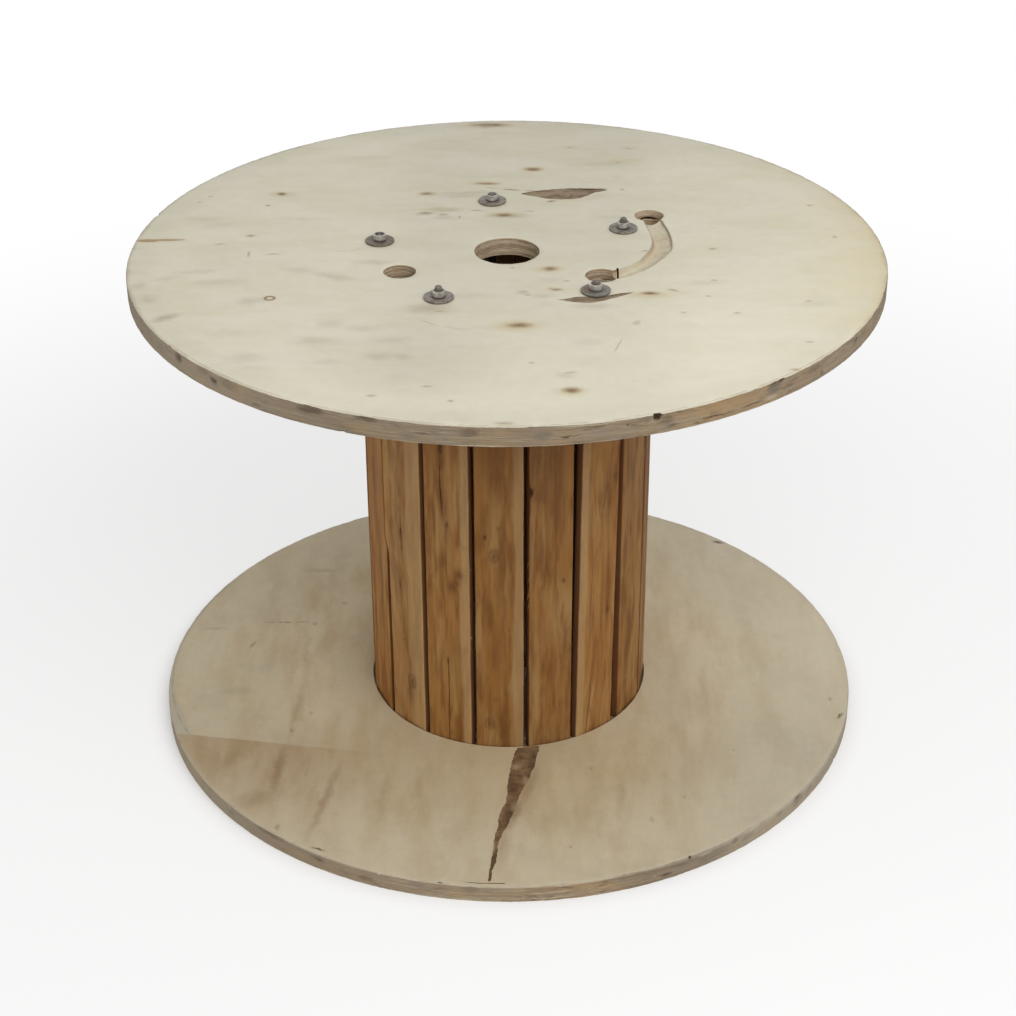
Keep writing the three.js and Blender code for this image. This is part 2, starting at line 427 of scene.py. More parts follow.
FACE, EDGE, UNDER, CORE, GROOVE, VOID = range(6)
PLIES = 9
RIM, _, TOP = extent("top_flange")[1]
TOP_UNDER = extent("top_flange")[0][2]
BASE_FACE = extent("bottom_flange")[1][2]
BORE = 45.0
DRIVE_HOLE = (-146.4, -69.8, 22.0)
CABLE_EXIT = (205.4, 125.9, 20.5)
CABLE_RETURN = (128.6, -85.1, 22.0)
CHANNEL, CHANNEL_DEPTH = (191.6, 210.5), 7.0
ROD_NUMBERS = range(1, 6)
RODS = [(sum(extent(f"tie_rod_{number}")) / 2)[:2].tolist() for number in ROD_NUMBERS]
ROD_RADIUS = 5.0
ROD_HOLE = 5.5
COUNTERBORE = 22.5
COUNTERBORE_FLOOR = extent("bottom_washer_1")[1][2] + 0.3

# How many points go round the rim, the bore, other holes, the rods' holes and the channel's walls
RIM_POINTS, BORE_POINTS, HOLE_POINTS, ROD_POINTS, CHANNEL_POINTS = 1320, 200, 108, 48, 360
# How far back and how far down the rows of points of a worn corner lie, in widths of the corner
LIP = ((1, 0), (0.35, 0.38), (0, 1.05))
# Where each ply has its rows of points, as shares of its thickness
PLY_ROWS = (0.06, 0.36, 0.64, 0.94)
# Added to lengths along the lower rim, so that each rim has marks of its own
LOWER_RIM = 4000.0
# How far a face lies below its plane where it counts as the groove's floor
GROOVE_FLOOR = 0.9

# The cable groove's two edges on the face, from the cable exit round to the cable return
GROOVE_INNER = [(196, 112), (200.5, 84), (204.7, 58.1), (205.4, 33.7), (203.1, 14.6), (197.9, -1.5),
                (183.2, -35.6), (167.5, -53.8), (150, -67), (133, -73)]
GROOVE_OUTER = [(221, 113), (224.8, 92), (229.3, 70), (232.0, 38.8), (231.0, 2), (218.8, -22.9),
                (201.1, -54.2), (182, -74), (161, -91), (141, -99)]
# The groove's section: shares of its width and of its depth, and how much painted shade lies there
GROOVE_SECTION = [(-0.12, 0, 0), (0, 0, 0.8), (0.045, 0.62, 0.75), (0.1, 0.85, 0.4),
                  (0.2, 0.98, 0.15), (0.35, 1.0, 0), (0.5, 0.93, 0), (0.65, 0.78, 0),
                  (0.8, 0.58, 0), (0.92, 0.38, 0.25), (0.965, 0.2, 0.8), (1.0, 0, 1.0), (1.1, 0, 0)]
# How deep the groove is in millimetres, and how strong the painted shade of its section is, along
# its length
GROOVE_DEPTH = ([0, 0.12, 0.5, 1], [6.0, 7.5, 9.0, 11.0])
GROOVE_SHADE = ([0, 0.35, 0.6, 0.8, 1], [1.0, 0.8, 0.35, 0.2, 0.7])


def resampled(points, count):
    """A polyline as evenly spaced points, its corners rounded."""
    points = np.array(points, float)
    run = np.concatenate([[0], np.cumsum(np.hypot(*np.diff(points, axis=0).T))])
    fine = np.linspace(0, run[-1], 400)
    dense = np.column_stack([np.interp(fine, run, points[:, axis]) for axis in (0, 1)])
    window = np.hanning(71)
    window /= window.sum()
    padded = np.pad(dense, ((35, 35), (0, 0)), mode="reflect", reflect_type="odd")
    smooth = np.column_stack([np.convolve(padded[:, axis], window, "valid") for axis in (0, 1)])
    return smooth[np.linspace(0, len(smooth) - 1, count).round().astype(int)]


def groove_points(count):
    """Points across the groove in rows, how deep each lies and how much painted shade lies there.
    """
    inner, outer = (resampled(line, count)[:, None] for line in (GROOVE_INNER, GROOVE_OUTER))
    share, deep, dark = np.array(GROOVE_SECTION).T
    along = np.linspace(0, 1, count)[:, None]
    rows = inner * (1 - share[:, None]) + outer * share[:, None]
    return rows, np.interp(along, *GROOVE_DEPTH) * deep, dark * np.interp(along, *GROOVE_SHADE)


groove_rows, *_ = groove_points(90)
groove_fine, groove_deep, groove_shade = groove_points(360)


def groove_at(points, known):
    """What is known along the groove, taken at any points of the face: 0 away from the groove."""
    result = np.zeros(len(points))
    cloud, values = groove_fine.reshape(-1, 2), known.ravel()
    for index in np.flatnonzero(((points > cloud.min(0)) & (points < cloud.max(0))).all(1)):
        gap = np.hypot(*(cloud - points[index]).T)
        near = np.argpartition(gap, 3)[:4]
        if gap[near].min() < 2.5:
            weight = 1 / (gap[near] + 0.05)
            result[index] = (values[near] * weight).sum() / weight.sum()
    return result


def ragged(points, step, amount, *, seed):
    """A closed outline with extra points along it, pushed about by a small random amount."""
    rng = np.random.default_rng(seed)
    corners = np.array(points, float)
    result = []
    for start, stop in zip(corners, np.roll(corners, -1, axis=0)):
        count = max(1, int(np.hypot(*(stop - start)) / step))
        for share in np.arange(count) / count:
            result.append(start + (stop - start) * share + rng.uniform(-amount, amount, 2))
    return np.array(result)


# ---------------------------------------------------------------- the two flanges

swell = Waves(11, 700, 90, 10)
ripple = Waves(12, 60, 14, 12)


def face_relief(points):
    """The small waves of a veneer face: how far it lies below its plane."""
    x, y = points.T
    return np.clip(0.16 + 0.07 * swell(x, y) + 0.035 * ripple(x * 0.3, y), 0.02, 0.4)


def top_relief(points):
    return face_relief(points) + groove_at(points, groove_deep)


def low_relief(points):
    return face_relief(points[:, ::-1] + 900)


class Plate:
    """One plywood flange, made edge by edge and then face by face."""

    def __init__(self, low, high, relief, bites, *, seed, gaps, start):
        """A flange with its rim, spindle bore and drive hole; relief is its top face's."""
        self.low, self.high, self.relief, self.seed = low, high, relief, seed
        self.ply = (high - low) / PLIES
        self.shell = Shell()
        # The rim and then each hole: its rows of points, and the recess round its lower end, if any
        self.edges = []
        self.cut(RIM, RIM_POINTS, None, bites, seed=seed, wear=1.0, gaps=gaps, start=start)
        self.cut(BORE, BORE_POINTS, (0, 0), seed=seed + 20, wear=0.7, gaps=5)
        self.hole(DRIVE_HOLE, seed=seed + 40)

    def plies(self, z):
        """How many plies lie above a height."""
        return (self.high - z) / self.ply

    def hole(self, hole, bites=(), *, seed):
        """A hole of its own: x, y and radius."""
        x, y, radius = hole
        self.cut(radius, HOLE_POINTS, (x, y), bites, seed=seed, wear=0.6, gaps=3)

    def cut(self, radius, count, hole, bites=(), *, seed, wear, gaps, start=0):
        """A sawn edge: the rim, or the wall of the hole whose centre is given.

        bites are (angle, z, width, height, depth); gaps is how many short voids the plies have.
        wear scales how rough the edge is, and start is added to the lengths along it.
        """
        x, y = hole or (0, 0)
        side = -1 if hole is None else 1
        low, high = self.low, self.high
        angle = angles(count)
        step = TURN * radius / count

        def noise(number, length, rows=1):
            return rough(seed + number, count, length / step, rows)

        def off(where):
            """How far along the edge each point is from an angle."""
            return np.abs((angle - where + math.pi) % TURN - math.pi) * radius

        def end_grain(ply):
            """How much of a ply shows its fibres' ends: every other ply lies crosswise."""
            return np.where(np.floor(ply) % 2 == 1, np.cos(angle) ** 2, np.sin(angle) ** 2)

        rng = np.random.default_rng(seed)
        lip_top = wear * np.clip(0.9 + 0.25 * noise(1, 9)[0] + 0.25 * noise(2, 3.5)[0], 0.4, 2.0)
        lip_low = wear * np.clip(0.85 + 0.2 * noise(3, 8)[0], 0.45, 1.6)
        coarse, fibre = noise(4, 30, PLIES), noise(5, 7, PLIES)
        fine = noise(6, 1.6, PLIES * len(PLY_ROWS))
        voids = [(rng.integers(PLIES), rng.uniform(0, TURN), rng.uniform(2, 7),
                  rng.uniform(0.8, 2.6)) for _ in range(gaps)]

        def recess(z, row):
            """How far the edge lies back from the nominal radius, at one height."""
            ply = min(PLIES - 1, max(0, int(self.plies(z))))
            grain = end_grain(ply)
            middle = abs(self.plies(z) - ply - 0.5)
            ends, sides = 0.16 + 0.14 * fine[row % len(fine)], 0.1 + 0.09 * fibre[ply]
            depth = 0.08 * np.abs(coarse[ply]) + grain * ends + (1 - grain) * sides
            depth = np.clip(depth + 0.22 * (middle * 2) ** 4, 0, None)
            for at, where, half, deep in voids:
                if at == ply:
                    gone = ease(half - off(where), -half, half) * ease(0.5 - middle, 0, 0.3)
                    depth = np.maximum(depth, deep * gone)
            for where, at, width, height, deep in bites:
                reach = np.hypot(off(math.radians(where)) / width, (z - at) / height)
                reach += 0.12 * fibre[(ply + 3) % PLIES]
                depth = np.maximum(depth, deep * (1 - ease(reach, 0.55, 1.15)))
            return wear * depth

        rows, marks, pits = [], [], []

        def row(z, back):
            z = np.broadcast_to(z, (count,))
            rows.append(lifted(circle(x, y, radius + side * back, count), z))
            ply = self.plies(z)
            marks.append(np.column_stack([start + angle * radius, ply, end_grain(ply)]))
            # How far back the edge lies, which the material shows as painted shade
            pits.append(np.clip((back - 0.5) / 2.5, 0, 1))

        first = recess(high - lip_top.mean(), 0)
        top = high - self.relief(circle(x, y, radius + side * (first + lip_top), count))
        for back, down in LIP:
            ceiling = top - down * lip_top
            row(ceiling, first + back * lip_top)
        levels = [high - (ply + share) * self.ply for ply in range(PLIES) for share in PLY_ROWS]
        levels = [z for z in levels if low + 2.2 * wear < z < high - 2.2 * wear]
        for number, z in enumerate(levels):
            ceiling = np.minimum(ceiling - 0.02, z)
            row(ceiling, recess(z, number))
        last = recess(low + lip_low.mean(), 1)
        for back, up in reversed(LIP):
            row(low + up * lip_low, last + back * lip_low)
        self.edges.append((rows, None))
        self.shell.band(rows, EDGE, edgeco=marks, pit=pits, fresh=np.full(np.shape(pits), side > 0))

    def rod_hole(self, x, y, low, high, recess=None):
        """A plain hole for a rod; high is one height, or one a point."""
        rows = [lifted(circle(x, y, ROD_HOLE, ROD_POINTS), z) for z in (high, low)]
        self.wall(rows, pit=0.5, fresh=1)
        self.edges.append((rows, recess))

    def wall(self, rows, pit, fresh=0):
        """A plain band of cut wood, darkened by painted shade of the given strength."""
        marks = [np.column_stack([row[:, 0], self.plies(row[:, 2]), np.full(len(row), 0.4)])
                 for row in rows]
        whole = np.ones(np.shape(rows)[:2])
        self.shell.band(rows, EDGE, edgeco=marks, pit=whole * pit, fresh=whole * fresh)

    def face(self, top, spacing, patches=(), channelled=False, grooved=False):
        """One face, its points about spacing apart.

        patches are (outline, depth, zone) where it lies a step deeper. A channelled face has the
        staves' channel in it, and a grooved one the cable groove.
        """
        plane, sign, end, zone = (self.high, -1, 0, FACE) if top else (self.low, 1, -1, UNDER)
        relief = self.relief if top else low_relief
        loops = []
        for rows, recess in self.edges:
            loop = rows[end]
            if recess is not None and not top:
                # The hole's own edge ends at the floor of a flat-bottomed recess
                mouth, foot = lifted(recess, plane), lifted(recess, loop[:, 2])
                self.wall([mouth, foot], pit=0.3)
                self.wall([foot, loop], pit=0.3)
                loop = mouth
            loops.append(loop)
        open_loops = [loop[:, :2] for loop in loops[1:]]
        if channelled:
            ring = [circle(0, 0, radius, CHANNEL_POINTS) for radius in CHANNEL]
            floor = plane + sign * CHANNEL_DEPTH
            for loop in ring:
                loops.append(lifted(loop, plane))
                self.wall([loops[-1], lifted(loop, floor)], pit=0.35)
            self.wall([lifted(loop, floor) for loop in ring], pit=0.5)
        loops += [lifted(outline, plane + sign * relief(outline)) for outline, _, _ in patches]
        flat = [loop[:, :2] for loop in loops]
        points = scatter(np.hypot(*flat[0].T).max(), spacing, self.seed)
        for loop in flat:
            points = clear_of(points, loop, spacing * 0.5)
        if grooved:
            extra = groove_rows.reshape(-1, 2)
            points = clear_of(points, extra, spacing * 0.4)
            for loop in flat:
                extra = clear_of(extra, loop, 0.6)
            points = np.concatenate([points, extra])
        found, triangles = triangulate(flat, points)
        middle = found[triangles].mean(axis=1)
        kept = inside(middle, flat[0])
        for loop in open_loops:
            kept &= ~inside(middle, loop)
        if channelled:
            away = np.hypot(*middle.T)
            kept &= (away < CHANNEL[0]) | (away > CHANNEL[1])
        z = plane + sign * relief(found)
        known = np.concatenate(loops)[:, 2]
        z[:len(known)] = known
        for outline, depth, inset_zone in patches:
            here = kept & inside(middle, outline)
            kept &= ~here
            lowered = lifted(found, z + sign * depth)
            near = [np.argmin(np.hypot(*(found - point).T)) for point in outline]
            self.shell.add(lowered, triangles[here], inset_zone)
            self.shell.band([lifted(found, z)[near], lowered[near]], inset_zone)
        cut = np.abs(z - plane)[triangles].mean(axis=1) >= GROOVE_FLOOR
        known = {"crease": groove_at(found, groove_shade)} if grooved else {}
        for where, kind in ((kept & ~cut, zone), (kept & cut, GROOVE)):
            self.shell.add(lifted(found, z), triangles[where], kind, **known)


LENS_BEHIND = [(20.7, 210.2), (30.7, 218.3), (45.0, 222.7), (59.2, 226.4), (76.4, 230.0),
               (94.9, 232.0), (113.4, 231.8), (130.4, 230.1), (138.9, 229.3), (149.4, 224.6),
               (141.4, 219.4), (131.3, 215.7), (121.0, 204.5), (107.9, 193.4), (98.0, 190.6),
               (83.9, 189.2), (69.8, 189.4), (55.8, 192.5), (44.6, 199.4), (33.4, 204.0)]
LENS_FRONT = [(67.4, -162.9), (79.1, -167.8), (90.8, -171.6), (102.6, -173.7), (114.4, -172.9),
              (126.4, -168.3), (136.1, -162.7), (145.8, -157.1), (154.4, -151.5), (163.0, -145.9),
              (169.3, -140.2), (157.2, -142.6), (148.8, -144.9), (140.3, -147.7), (127.1, -152.1),
              (115.1, -153.0), (103.2, -153.4), (91.3, -154.5), (79.3, -160.2)]
VENEER_CRACK = [(149.9, -60.5), (152.4, -60.5), (152.9, -67), (152.9, -73), (150.4, -73),
                (150.0, -67)]
LOW_STRIP = [(12.6, -212.1), (8.5, -225.0), (3.6, -248.5), (0.4, -274.4), (-2.0, -299.9),
             (-2.9, -325.0), (-5.2, -344.8), (-11.3, -357.1), (-14.4, -374.1), (-16.6, -398.2),
             (-18.9, -410.1), (-21.1, -424.3), (-22.5, -445.4), (-24.6, -468.5), (-27.5, -491.3),
             (-29.0, -513.0), (-25.1, -513.0), (-23.8, -491.3), (-19.7, -477.7), (-17.5, -464.0),
             (-16.3, -440.8), (-12.8, -422.0), (-8.5, -408.5), (-3.5, -396.0), (0.5, -382.0),
             (5.0, -369.0), (9.0, -352.0), (12.0, -336.0), (17.4, -317.1), (26.4, -293.5),
             (31.5, -274.6), (36.2, -259.2), (40.6, -235.7), (43.6, -218.4), (44.6, -207.9)]
LOW_CRACK = [(-66.2, -512.4), (-52.0, -514.6), (-41.2, -516.0), (-23.7, -516.1), (-6.1, -516.7),
             (-6.5, -517.9), (-24.0, -517.3), (-41.2, -517.2), (-52.0, -515.8)]
# What is bitten out of the rims: angle, mm below the flange's top, width, height, depth
TOP_BITES = [(-70.0, 2.5, 5.5, 5, 4.5), (-51.3, 5, 15, 6, 1.4), (-49.8, 2, 6, 4, 2.0),
             (-31, 9, 6, 2.4, 2.6), (-142.5, 7, 6, 4, 1.6), (-134.3, 12, 8, 4, 1.8),
             (-117, 2, 18, 3, 1.2), (-108.8, 1, 16, 2, 1.2), (-95, 6, 14, 4, 1.0),
             (-86, 1, 12, 2, 1.2), (-62, 19, 14, 1.4, 1.6), (-55, 19, 14, 1.4, 1.4),
             (-74, 7, 3, 1.4, 1.6), (-79, 8, 11, 1.2, 1.2), (40, 8, 7, 2, 2), (100, 15, 7, 2, 2.4),
             (165, 1, 6, 3, 2)]
LOW_BITES = [(-38.2, 7, 8, 4, 1.6), (-61.8, 3, 3, 3, 2.4), (-65.9, 18, 7, 2, 1.6),
             (-129.6, 5, 12, 3, 1.2), (-120, 11, 7, 3, 1.6), (-100, 1, 9, 2.5, 1.2),
             (-76, 12, 8, 2, 1.4), (-139.4, 6, 4, 3, 1.6), (-87, 22.5, 40, 1, 1.2),
             (30, 14, 8, 2, 2), (120, 10, 8, 2, 2)]
EXIT_BITES = [(88, 13, 13, 1.9, 12), (60, 17, 7, 1.2, 3)]
RETURN_BITES = [(70, 16, 9, 1.2, 4), (20, 14, 6, 5, 2)]
# How far apart the points of a face are, in sight and underneath
FINE, PLAIN = 8.5, 13
# The turn, in degrees, from which a flange's edges are sharp
FLANGE_SHARP = 38


def below(high, bites):
    """Bites with heights in place of how far below the top they lie."""
    return [(angle, high - down, *sizes) for angle, down, *sizes in bites]


def top_flange(materials):
    low, high = TOP_UNDER, TOP
    plate = Plate(low, high, top_relief, below(high, TOP_BITES), seed=100, gaps=16, start=0)
    plate.hole(CABLE_EXIT, below(high, EXIT_BITES), seed=160)
    plate.hole(CABLE_RETURN, below(high, RETURN_BITES), seed=180)
    for x, y in RODS:
        plate.rod_hole(x, y, low, high - top_relief(circle(x, y, ROD_HOLE, ROD_POINTS)))
    plate.face(True, FINE, [(ragged(LENS_BEHIND, 4, 0.7, seed=1), 0.9, CORE),
                            (ragged(LENS_FRONT, 4, 0.5, seed=2), 0.9, CORE),
                            (ragged(VENEER_CRACK, 3, 0.15, seed=4), 7.0, VOID)], grooved=True)
    plate.face(False, PLAIN, channelled=True)
    return plate.shell.build("top_flange_board", materials, FLANGE_SHARP)


def bottom_flange(materials):
    low, high = 0.0, BASE_FACE
    plate = Plate(low, high, low_relief, below(high, LOW_BITES), seed=300, gaps=14, start=LOWER_RIM)
    for x, y in RODS:
        plate.rod_hole(x, y, COUNTERBORE_FLOOR, high - 0.3, circle(x, y, COUNTERBORE, ROD_POINTS))
    plate.face(True, FINE, [(ragged(LOW_STRIP, 3.5, 0.8, seed=5), 0.7, CORE),
                            (ragged(LOW_CRACK, 6, 0.15, seed=6), 3.0, VOID)], channelled=True)
    plate.face(False, PLAIN)
    return plate.shell.build("bottom_flange_board", materials, FLANGE_SHARP)


# ---------------------------------------------------------------- staves

STAVES = 17
STAVE_FACE = 207.0
STAVE_DEPTH = 15.0
STAVE_WIDTH = 69.8
STAVE_LOW, STAVE_HIGH = 19.3, 706.7
# The first stave's angle, in degrees
FIRST_STAVE = -93.6
# Which staves are narrower, and which stand aside, in millimetres, and which lean, in degrees
NARROWER = {2: 4, 3: 1, 4: 4, 9: 3, 14: 2}
SHIFT = {2: -2, 4: 2, 14: 1}
LEAN = {3: 0.7, 14: -0.2}

# The staves that the photograph doesn't show
BEHIND = range(6, 15)

# Cracks in the outer faces: points of u, z, depth in millimetres, u running anticlockwise
CRACKS = {
    17: [[(-8.3, 489, 0), (-8.5, 481, 3.5), (-8.3, 457, 4), (-7.2, 431, 2.6), (-4.3, 405.5, 1.4),
          (-3, 393, 0), (-1.5, 345, 0.5), (-0.9, 330, 1.2), (-0.5, 299, 0.8), (-0.8, 250, 0),
          (-1.5, 172, 0), (-1.2, 160, 2.4), (-0.3, 139.9, 3.0), (-0.6, 80, 3.4), (-1, 32.5, 4),
          (-1, 19, 4)]],
    16: [[(-6.2, 392, 0), (-7.2, 364, 1.6), (-5.4, 340, 1.8), (-4.8, 320, 1.2), (-7, 290, 0),
          (-11.4, 267, 0.7), (-11, 250, 0)]],
    2: [[(-22, 420, 0), (-22.9, 400, 1.0), (-22, 380, 0)]],
    3: [[(-8.2, 130, 0), (-8.4, 99, 2.0), (-12, 62, 2.2), (-15.5, 33, 2.6), (-16, 19, 2.6)]],
    4: [[(-4.9, 372, 0), (-4.7, 336, 1.3),
         (-5.2, 300, 0)], [(6, 700, 2), (6.4, 640, 1.6), (7, 600, 0)]],
    6: [[(-10, 706, 2.4), (-9, 610, 2.0), (-8, 560, 0)]],
    8: [[(12, 19, 2.6), (11, 110, 2.0), (10, 180, 0)]],
    10: [[(3, 706, 2.4), (2, 600, 1.8), (3, 520, 0), (4, 200, 0), (5, 120, 2.2), (5, 19, 3)]],
    12: [[(-14, 19, 3), (-13, 150, 2.2), (-11, 240, 0)]],
    13: [[(9, 706, 2.6), (8, 560, 1.8), (9, 470, 0)]],
    15: [[(-4, 19, 2.8), (-3, 140, 2.0), (-2, 230, 0)]],
}

# Knots: u, z, half-width, half-height, how strongly they stain
KNOTS = {
    17: [(-6.1, 513.6, 3, 7, 1.0), (17.8, 513.9, 3, 5, 0.3), (1.3, 392.9, 2.5, 3.5, 0.7)],
    16: [(8.1, 102.3, 8, 11, 0.62)],
    1: [(-20.1, 382.4, 2.4, 3.2, 1.0), (-7, 352.7, 6.5, 10, 0.66), (-14.5, 65.2, 6.5, 9.5, 0.6),
        (-1.4, 397, 3, 4, 0.5), (13.3, 230, 2, 2.5, 0.7)],
    2: [(-30.2, 455.7, 3.5, 5, 1.0), (18.6, 303.8, 2.6, 4.2, 0.9)],
    3: [(20, 229, 4, 5, 0.6), (5, 405.6, 3, 4, 0.4)],
    5: [(-13, 301.4, 4, 5, 0.7)],
    4: [(-9.7, 70.8, 3, 4, 0.5)],
    7: [(9, 240, 6, 9, 0.7), (-12, 520, 4, 6, 0.8)],
    9: [(-6, 430, 7, 10, 0.7), (14, 130, 3, 4, 0.9)],
    11: [(4, 330, 6, 9, 0.6), (-16, 590, 4, 5, 0.9)],
    12: [(10, 480, 5, 7, 0.8)],
    13: [(-9, 210, 6, 8, 0.7)],
    14: [(12, 370, 4, 6, 0.9), (-4, 120, 6, 8, 0.6)],
}

# Brown streaks and smears without a knot: u, z, half-width, half-height, strength
SMEARS = {
    17: [(-6, 489, 4, 22, 0.8), (-8, 440, 4, 44, 0.8), (17.4, 315, 8, 11, 0.9),
         (8, 292, 8, 15, 0.85), (14, 302, 8, 10, 0.7), (-6, 330, 6, 40, 0.4),
         (-11, 254, 4, 20, 0.6), (0, 395, 8, 60, 0.5), (0, 150, 6, 60, 0.3), (-7, 272, 6, 16, 0.35),
         (-1.6, 165, 2.2, 12, 0.8), (-2, 346, 2.5, 16, 0.5), (2.8, 38, 4, 8, 0.5),
         (12, 30, 5, 12, 0.4), (-16, 470, 5, 20, 0.3)],
    16: [(-6.5, 350, 5, 34, 0.85), (-8, 420, 7, 70, 0.5), (-11, 267, 5, 34, 0.7),
         (4.8, 131, 3, 16, 0.8), (4, 84, 9, 26, 0.6), (-4, 500, 6, 60, 0.5), (-4, 190, 6, 40, 0.4)],
    1: [(-4, 470, 12, 60, 0.35), (-14, 420, 8, 30, 0.3), (8, 330, 3, 20, 0.4),
        (14, 300, 3, 26, 0.4), (-2, 300, 5, 14, 0.35), (2, 190, 12, 40, 0.3), (-6, 108, 6, 5, 0.3),
        (6, 60, 10, 30, 0.35), (18, 320, 2.4, 24, 0.45)],
    2: [(-18, 452, 14, 22, 0.7), (-10, 500, 20, 60, 0.5), (6, 430, 16, 40, 0.35),
        (-16, 450, 10, 24, 0.4), (10, 40, 14, 30, 0.3)],
    3: [(31.7, 483, 3, 18, 0.9), (26, 451, 7, 20, 0.85), (14, 430, 7, 60, 0.5),
        (20, 300, 5, 40, 0.3), (6, 352, 3, 14, 0.2), (18, 230, 4, 16, 0.4), (10, 200, 6, 40, 0.3)],
    4: [(-4.7, 336, 3, 20, 0.7), (-7.9, 268, 2, 6, 0.8), (-9.7, 71, 4, 8, 0.6),
        (-6, 420, 6, 60, 0.35), (-4, 150, 7, 60, 0.3)],
    15: [(0, 420, 8, 80, 0.3), (6, 200, 6, 60, 0.3)],
}

# Pale weathered sapwood: the u it starts at, from where it reaches the side that u's sign gives
SAPWOOD = {17: 20, 16: 3, 1: 19, 3: -20, 5: 20, 7: -16, 9: 16, 11: -20, 13: 14, 14: -22}
NO_SAPWOOD = 99

# Splinters off one edge of a stave, -1 its clockwise one: depth and z at both ends, and reach
SPLINTERS = {2: (-1, [(3, 345, 7, 322, 3.2), (2, 292, 6, 268, 3.6), (4, 300, 3, 262, 4.2),
                      (2, 276, 7, 246, 3.0), (5, 236, 3, 214, 2.6), (3, 318, 5, 300, 2.2)]),
             17: (1, [(3, 214, 5, 206, 3.4), (2, 330, 5, 322, 2.6), (4, 196, 2, 188, 2.8)])}

# How pale the rest of a board is, where it isn't 0
PALE = {16: 0.5, 2: 0.25, 3: 0.2, 15: 0.2}

# How light a board is, where it isn't the usual tone
TONES = {14: 0.97, 15: 1.43, 16: 1.28, 17: 1.12, 1: 0.96, 2: 0.93, 3: 1.09, 4: 0.97, 5: 0.95}
USUAL_TONE = 1.05
# Painted shade under the top flange, darkening a board towards its top: from z, to z, share
PAINTED_TOP_SHADE = {1: (440, 600, 0.75), 2: (400, 640, 0.8), 17: (420, 640, 0.5), 3: (400, 600, 0.5),
          4: (400, 640, 0.55), 5: (240, 440, 0.4), 16: (560, 700, 0.25), 8: (420, 640, 0.6),
          12: (460, 660, 0.6)}

# Where the growth rings arch, and how wide apart they are: u of the arch, pull, spacing
RINGS = {1: (-5, 1.0, 9), 17: (6, 0.35, 7), 16: (-6, 0.4, 8), 2: (4, 0.8, 8), 3: (8, 0.6, 7),
         4: (-4, 0.8, 9), 5: (2, 0.9, 8)}

# What is added to z from one board to the next, so that their shared material can tell them apart
BOARD_STEP = 900.0
# Where the seeds of the boards' noises start: their cup, waves, fibres, sides and drifting grain
CUP_SEED, WAVE_SEED, FIBRE_SEED, SIDE_SEEDS, DRIFT_SEED = 4000, 5000, 6000, (7000, 7500), 8000
# Rows of points up a board, and about how many across its outer face
BOARD_ROWS, BOARD_COLUMNS = 176, 30
# A board's worn corner: how far in from its side each row lies, and how far below the outer face
CORNER = ((0.75, 0.3), (0.3, 0.95), (0.0, 1.9))
SIDE_DEPTHS = (4.5, 7.5, 10.5, 13.0)


def crack_at(crack, z):
    """Where a crack runs at heights z, and how deep it is there."""
    rows = np.array(sorted(crack, key=lambda row: row[1]), float)
    wander = 0.25 * np.sin(z / 7.3 + rows[0, 0]) + 0.15 * np.sin(z / 2.9)
    return np.interp(z, rows[:, 1], rows[:, 0]) + wander, np.interp(z, rows[:, 1], rows[:, 2], 0, 0)


def outer_columns(z, half, cracks):
    """Columns of u over a board's outer face, close at its cracks, and how deep those are at z."""
    borders = [(np.full(len(z), -half + 1.6), None), *(crack_at(crack, z) for crack in cracks),
               (np.full(len(z), half - 1.6), None)]
    columns, deep = [], []
    for (left, left_deep), (right, right_deep) in zip(borders, borders[1:]):
        start = left + (0 if left_deep is None else 0.8)
        stop = right - (0 if right_deep is None else 0.8)
        many = max(6, int(BOARD_COLUMNS * (stop - start).mean() / (2 * half)))
        for share in np.linspace(0, 1, many):
            columns.append(start * (1 - share) + stop * share)
            deep.append(0 * z)
        if right_deep is not None:
            for step, part in ((-0.45, 0.9), (0, 1.0), (0.45, 0.9)):
                columns.append(right + step)
                deep.append(right_deep * part)
    return np.array(columns).T, np.array(deep).T


def side_wear(z, seed):
    """How far a side face lies back from its nominal side at heights z."""
    def uneven(seed, count):
        levels = np.linspace(z[0], z[-1], count)
        return np.interp(z, levels, np.random.default_rng(seed).uniform(0, 1, count))

    return 0.1 + 0.35 * uneven(seed, 24) + 0.3 * uneven(seed + 1, 120)


def reach(mark, u, z):
    """How far points are from a mark's middle, in its half-sizes."""
    return np.hypot((u - mark[0]) / mark[2], (z - mark[1]) / mark[3])


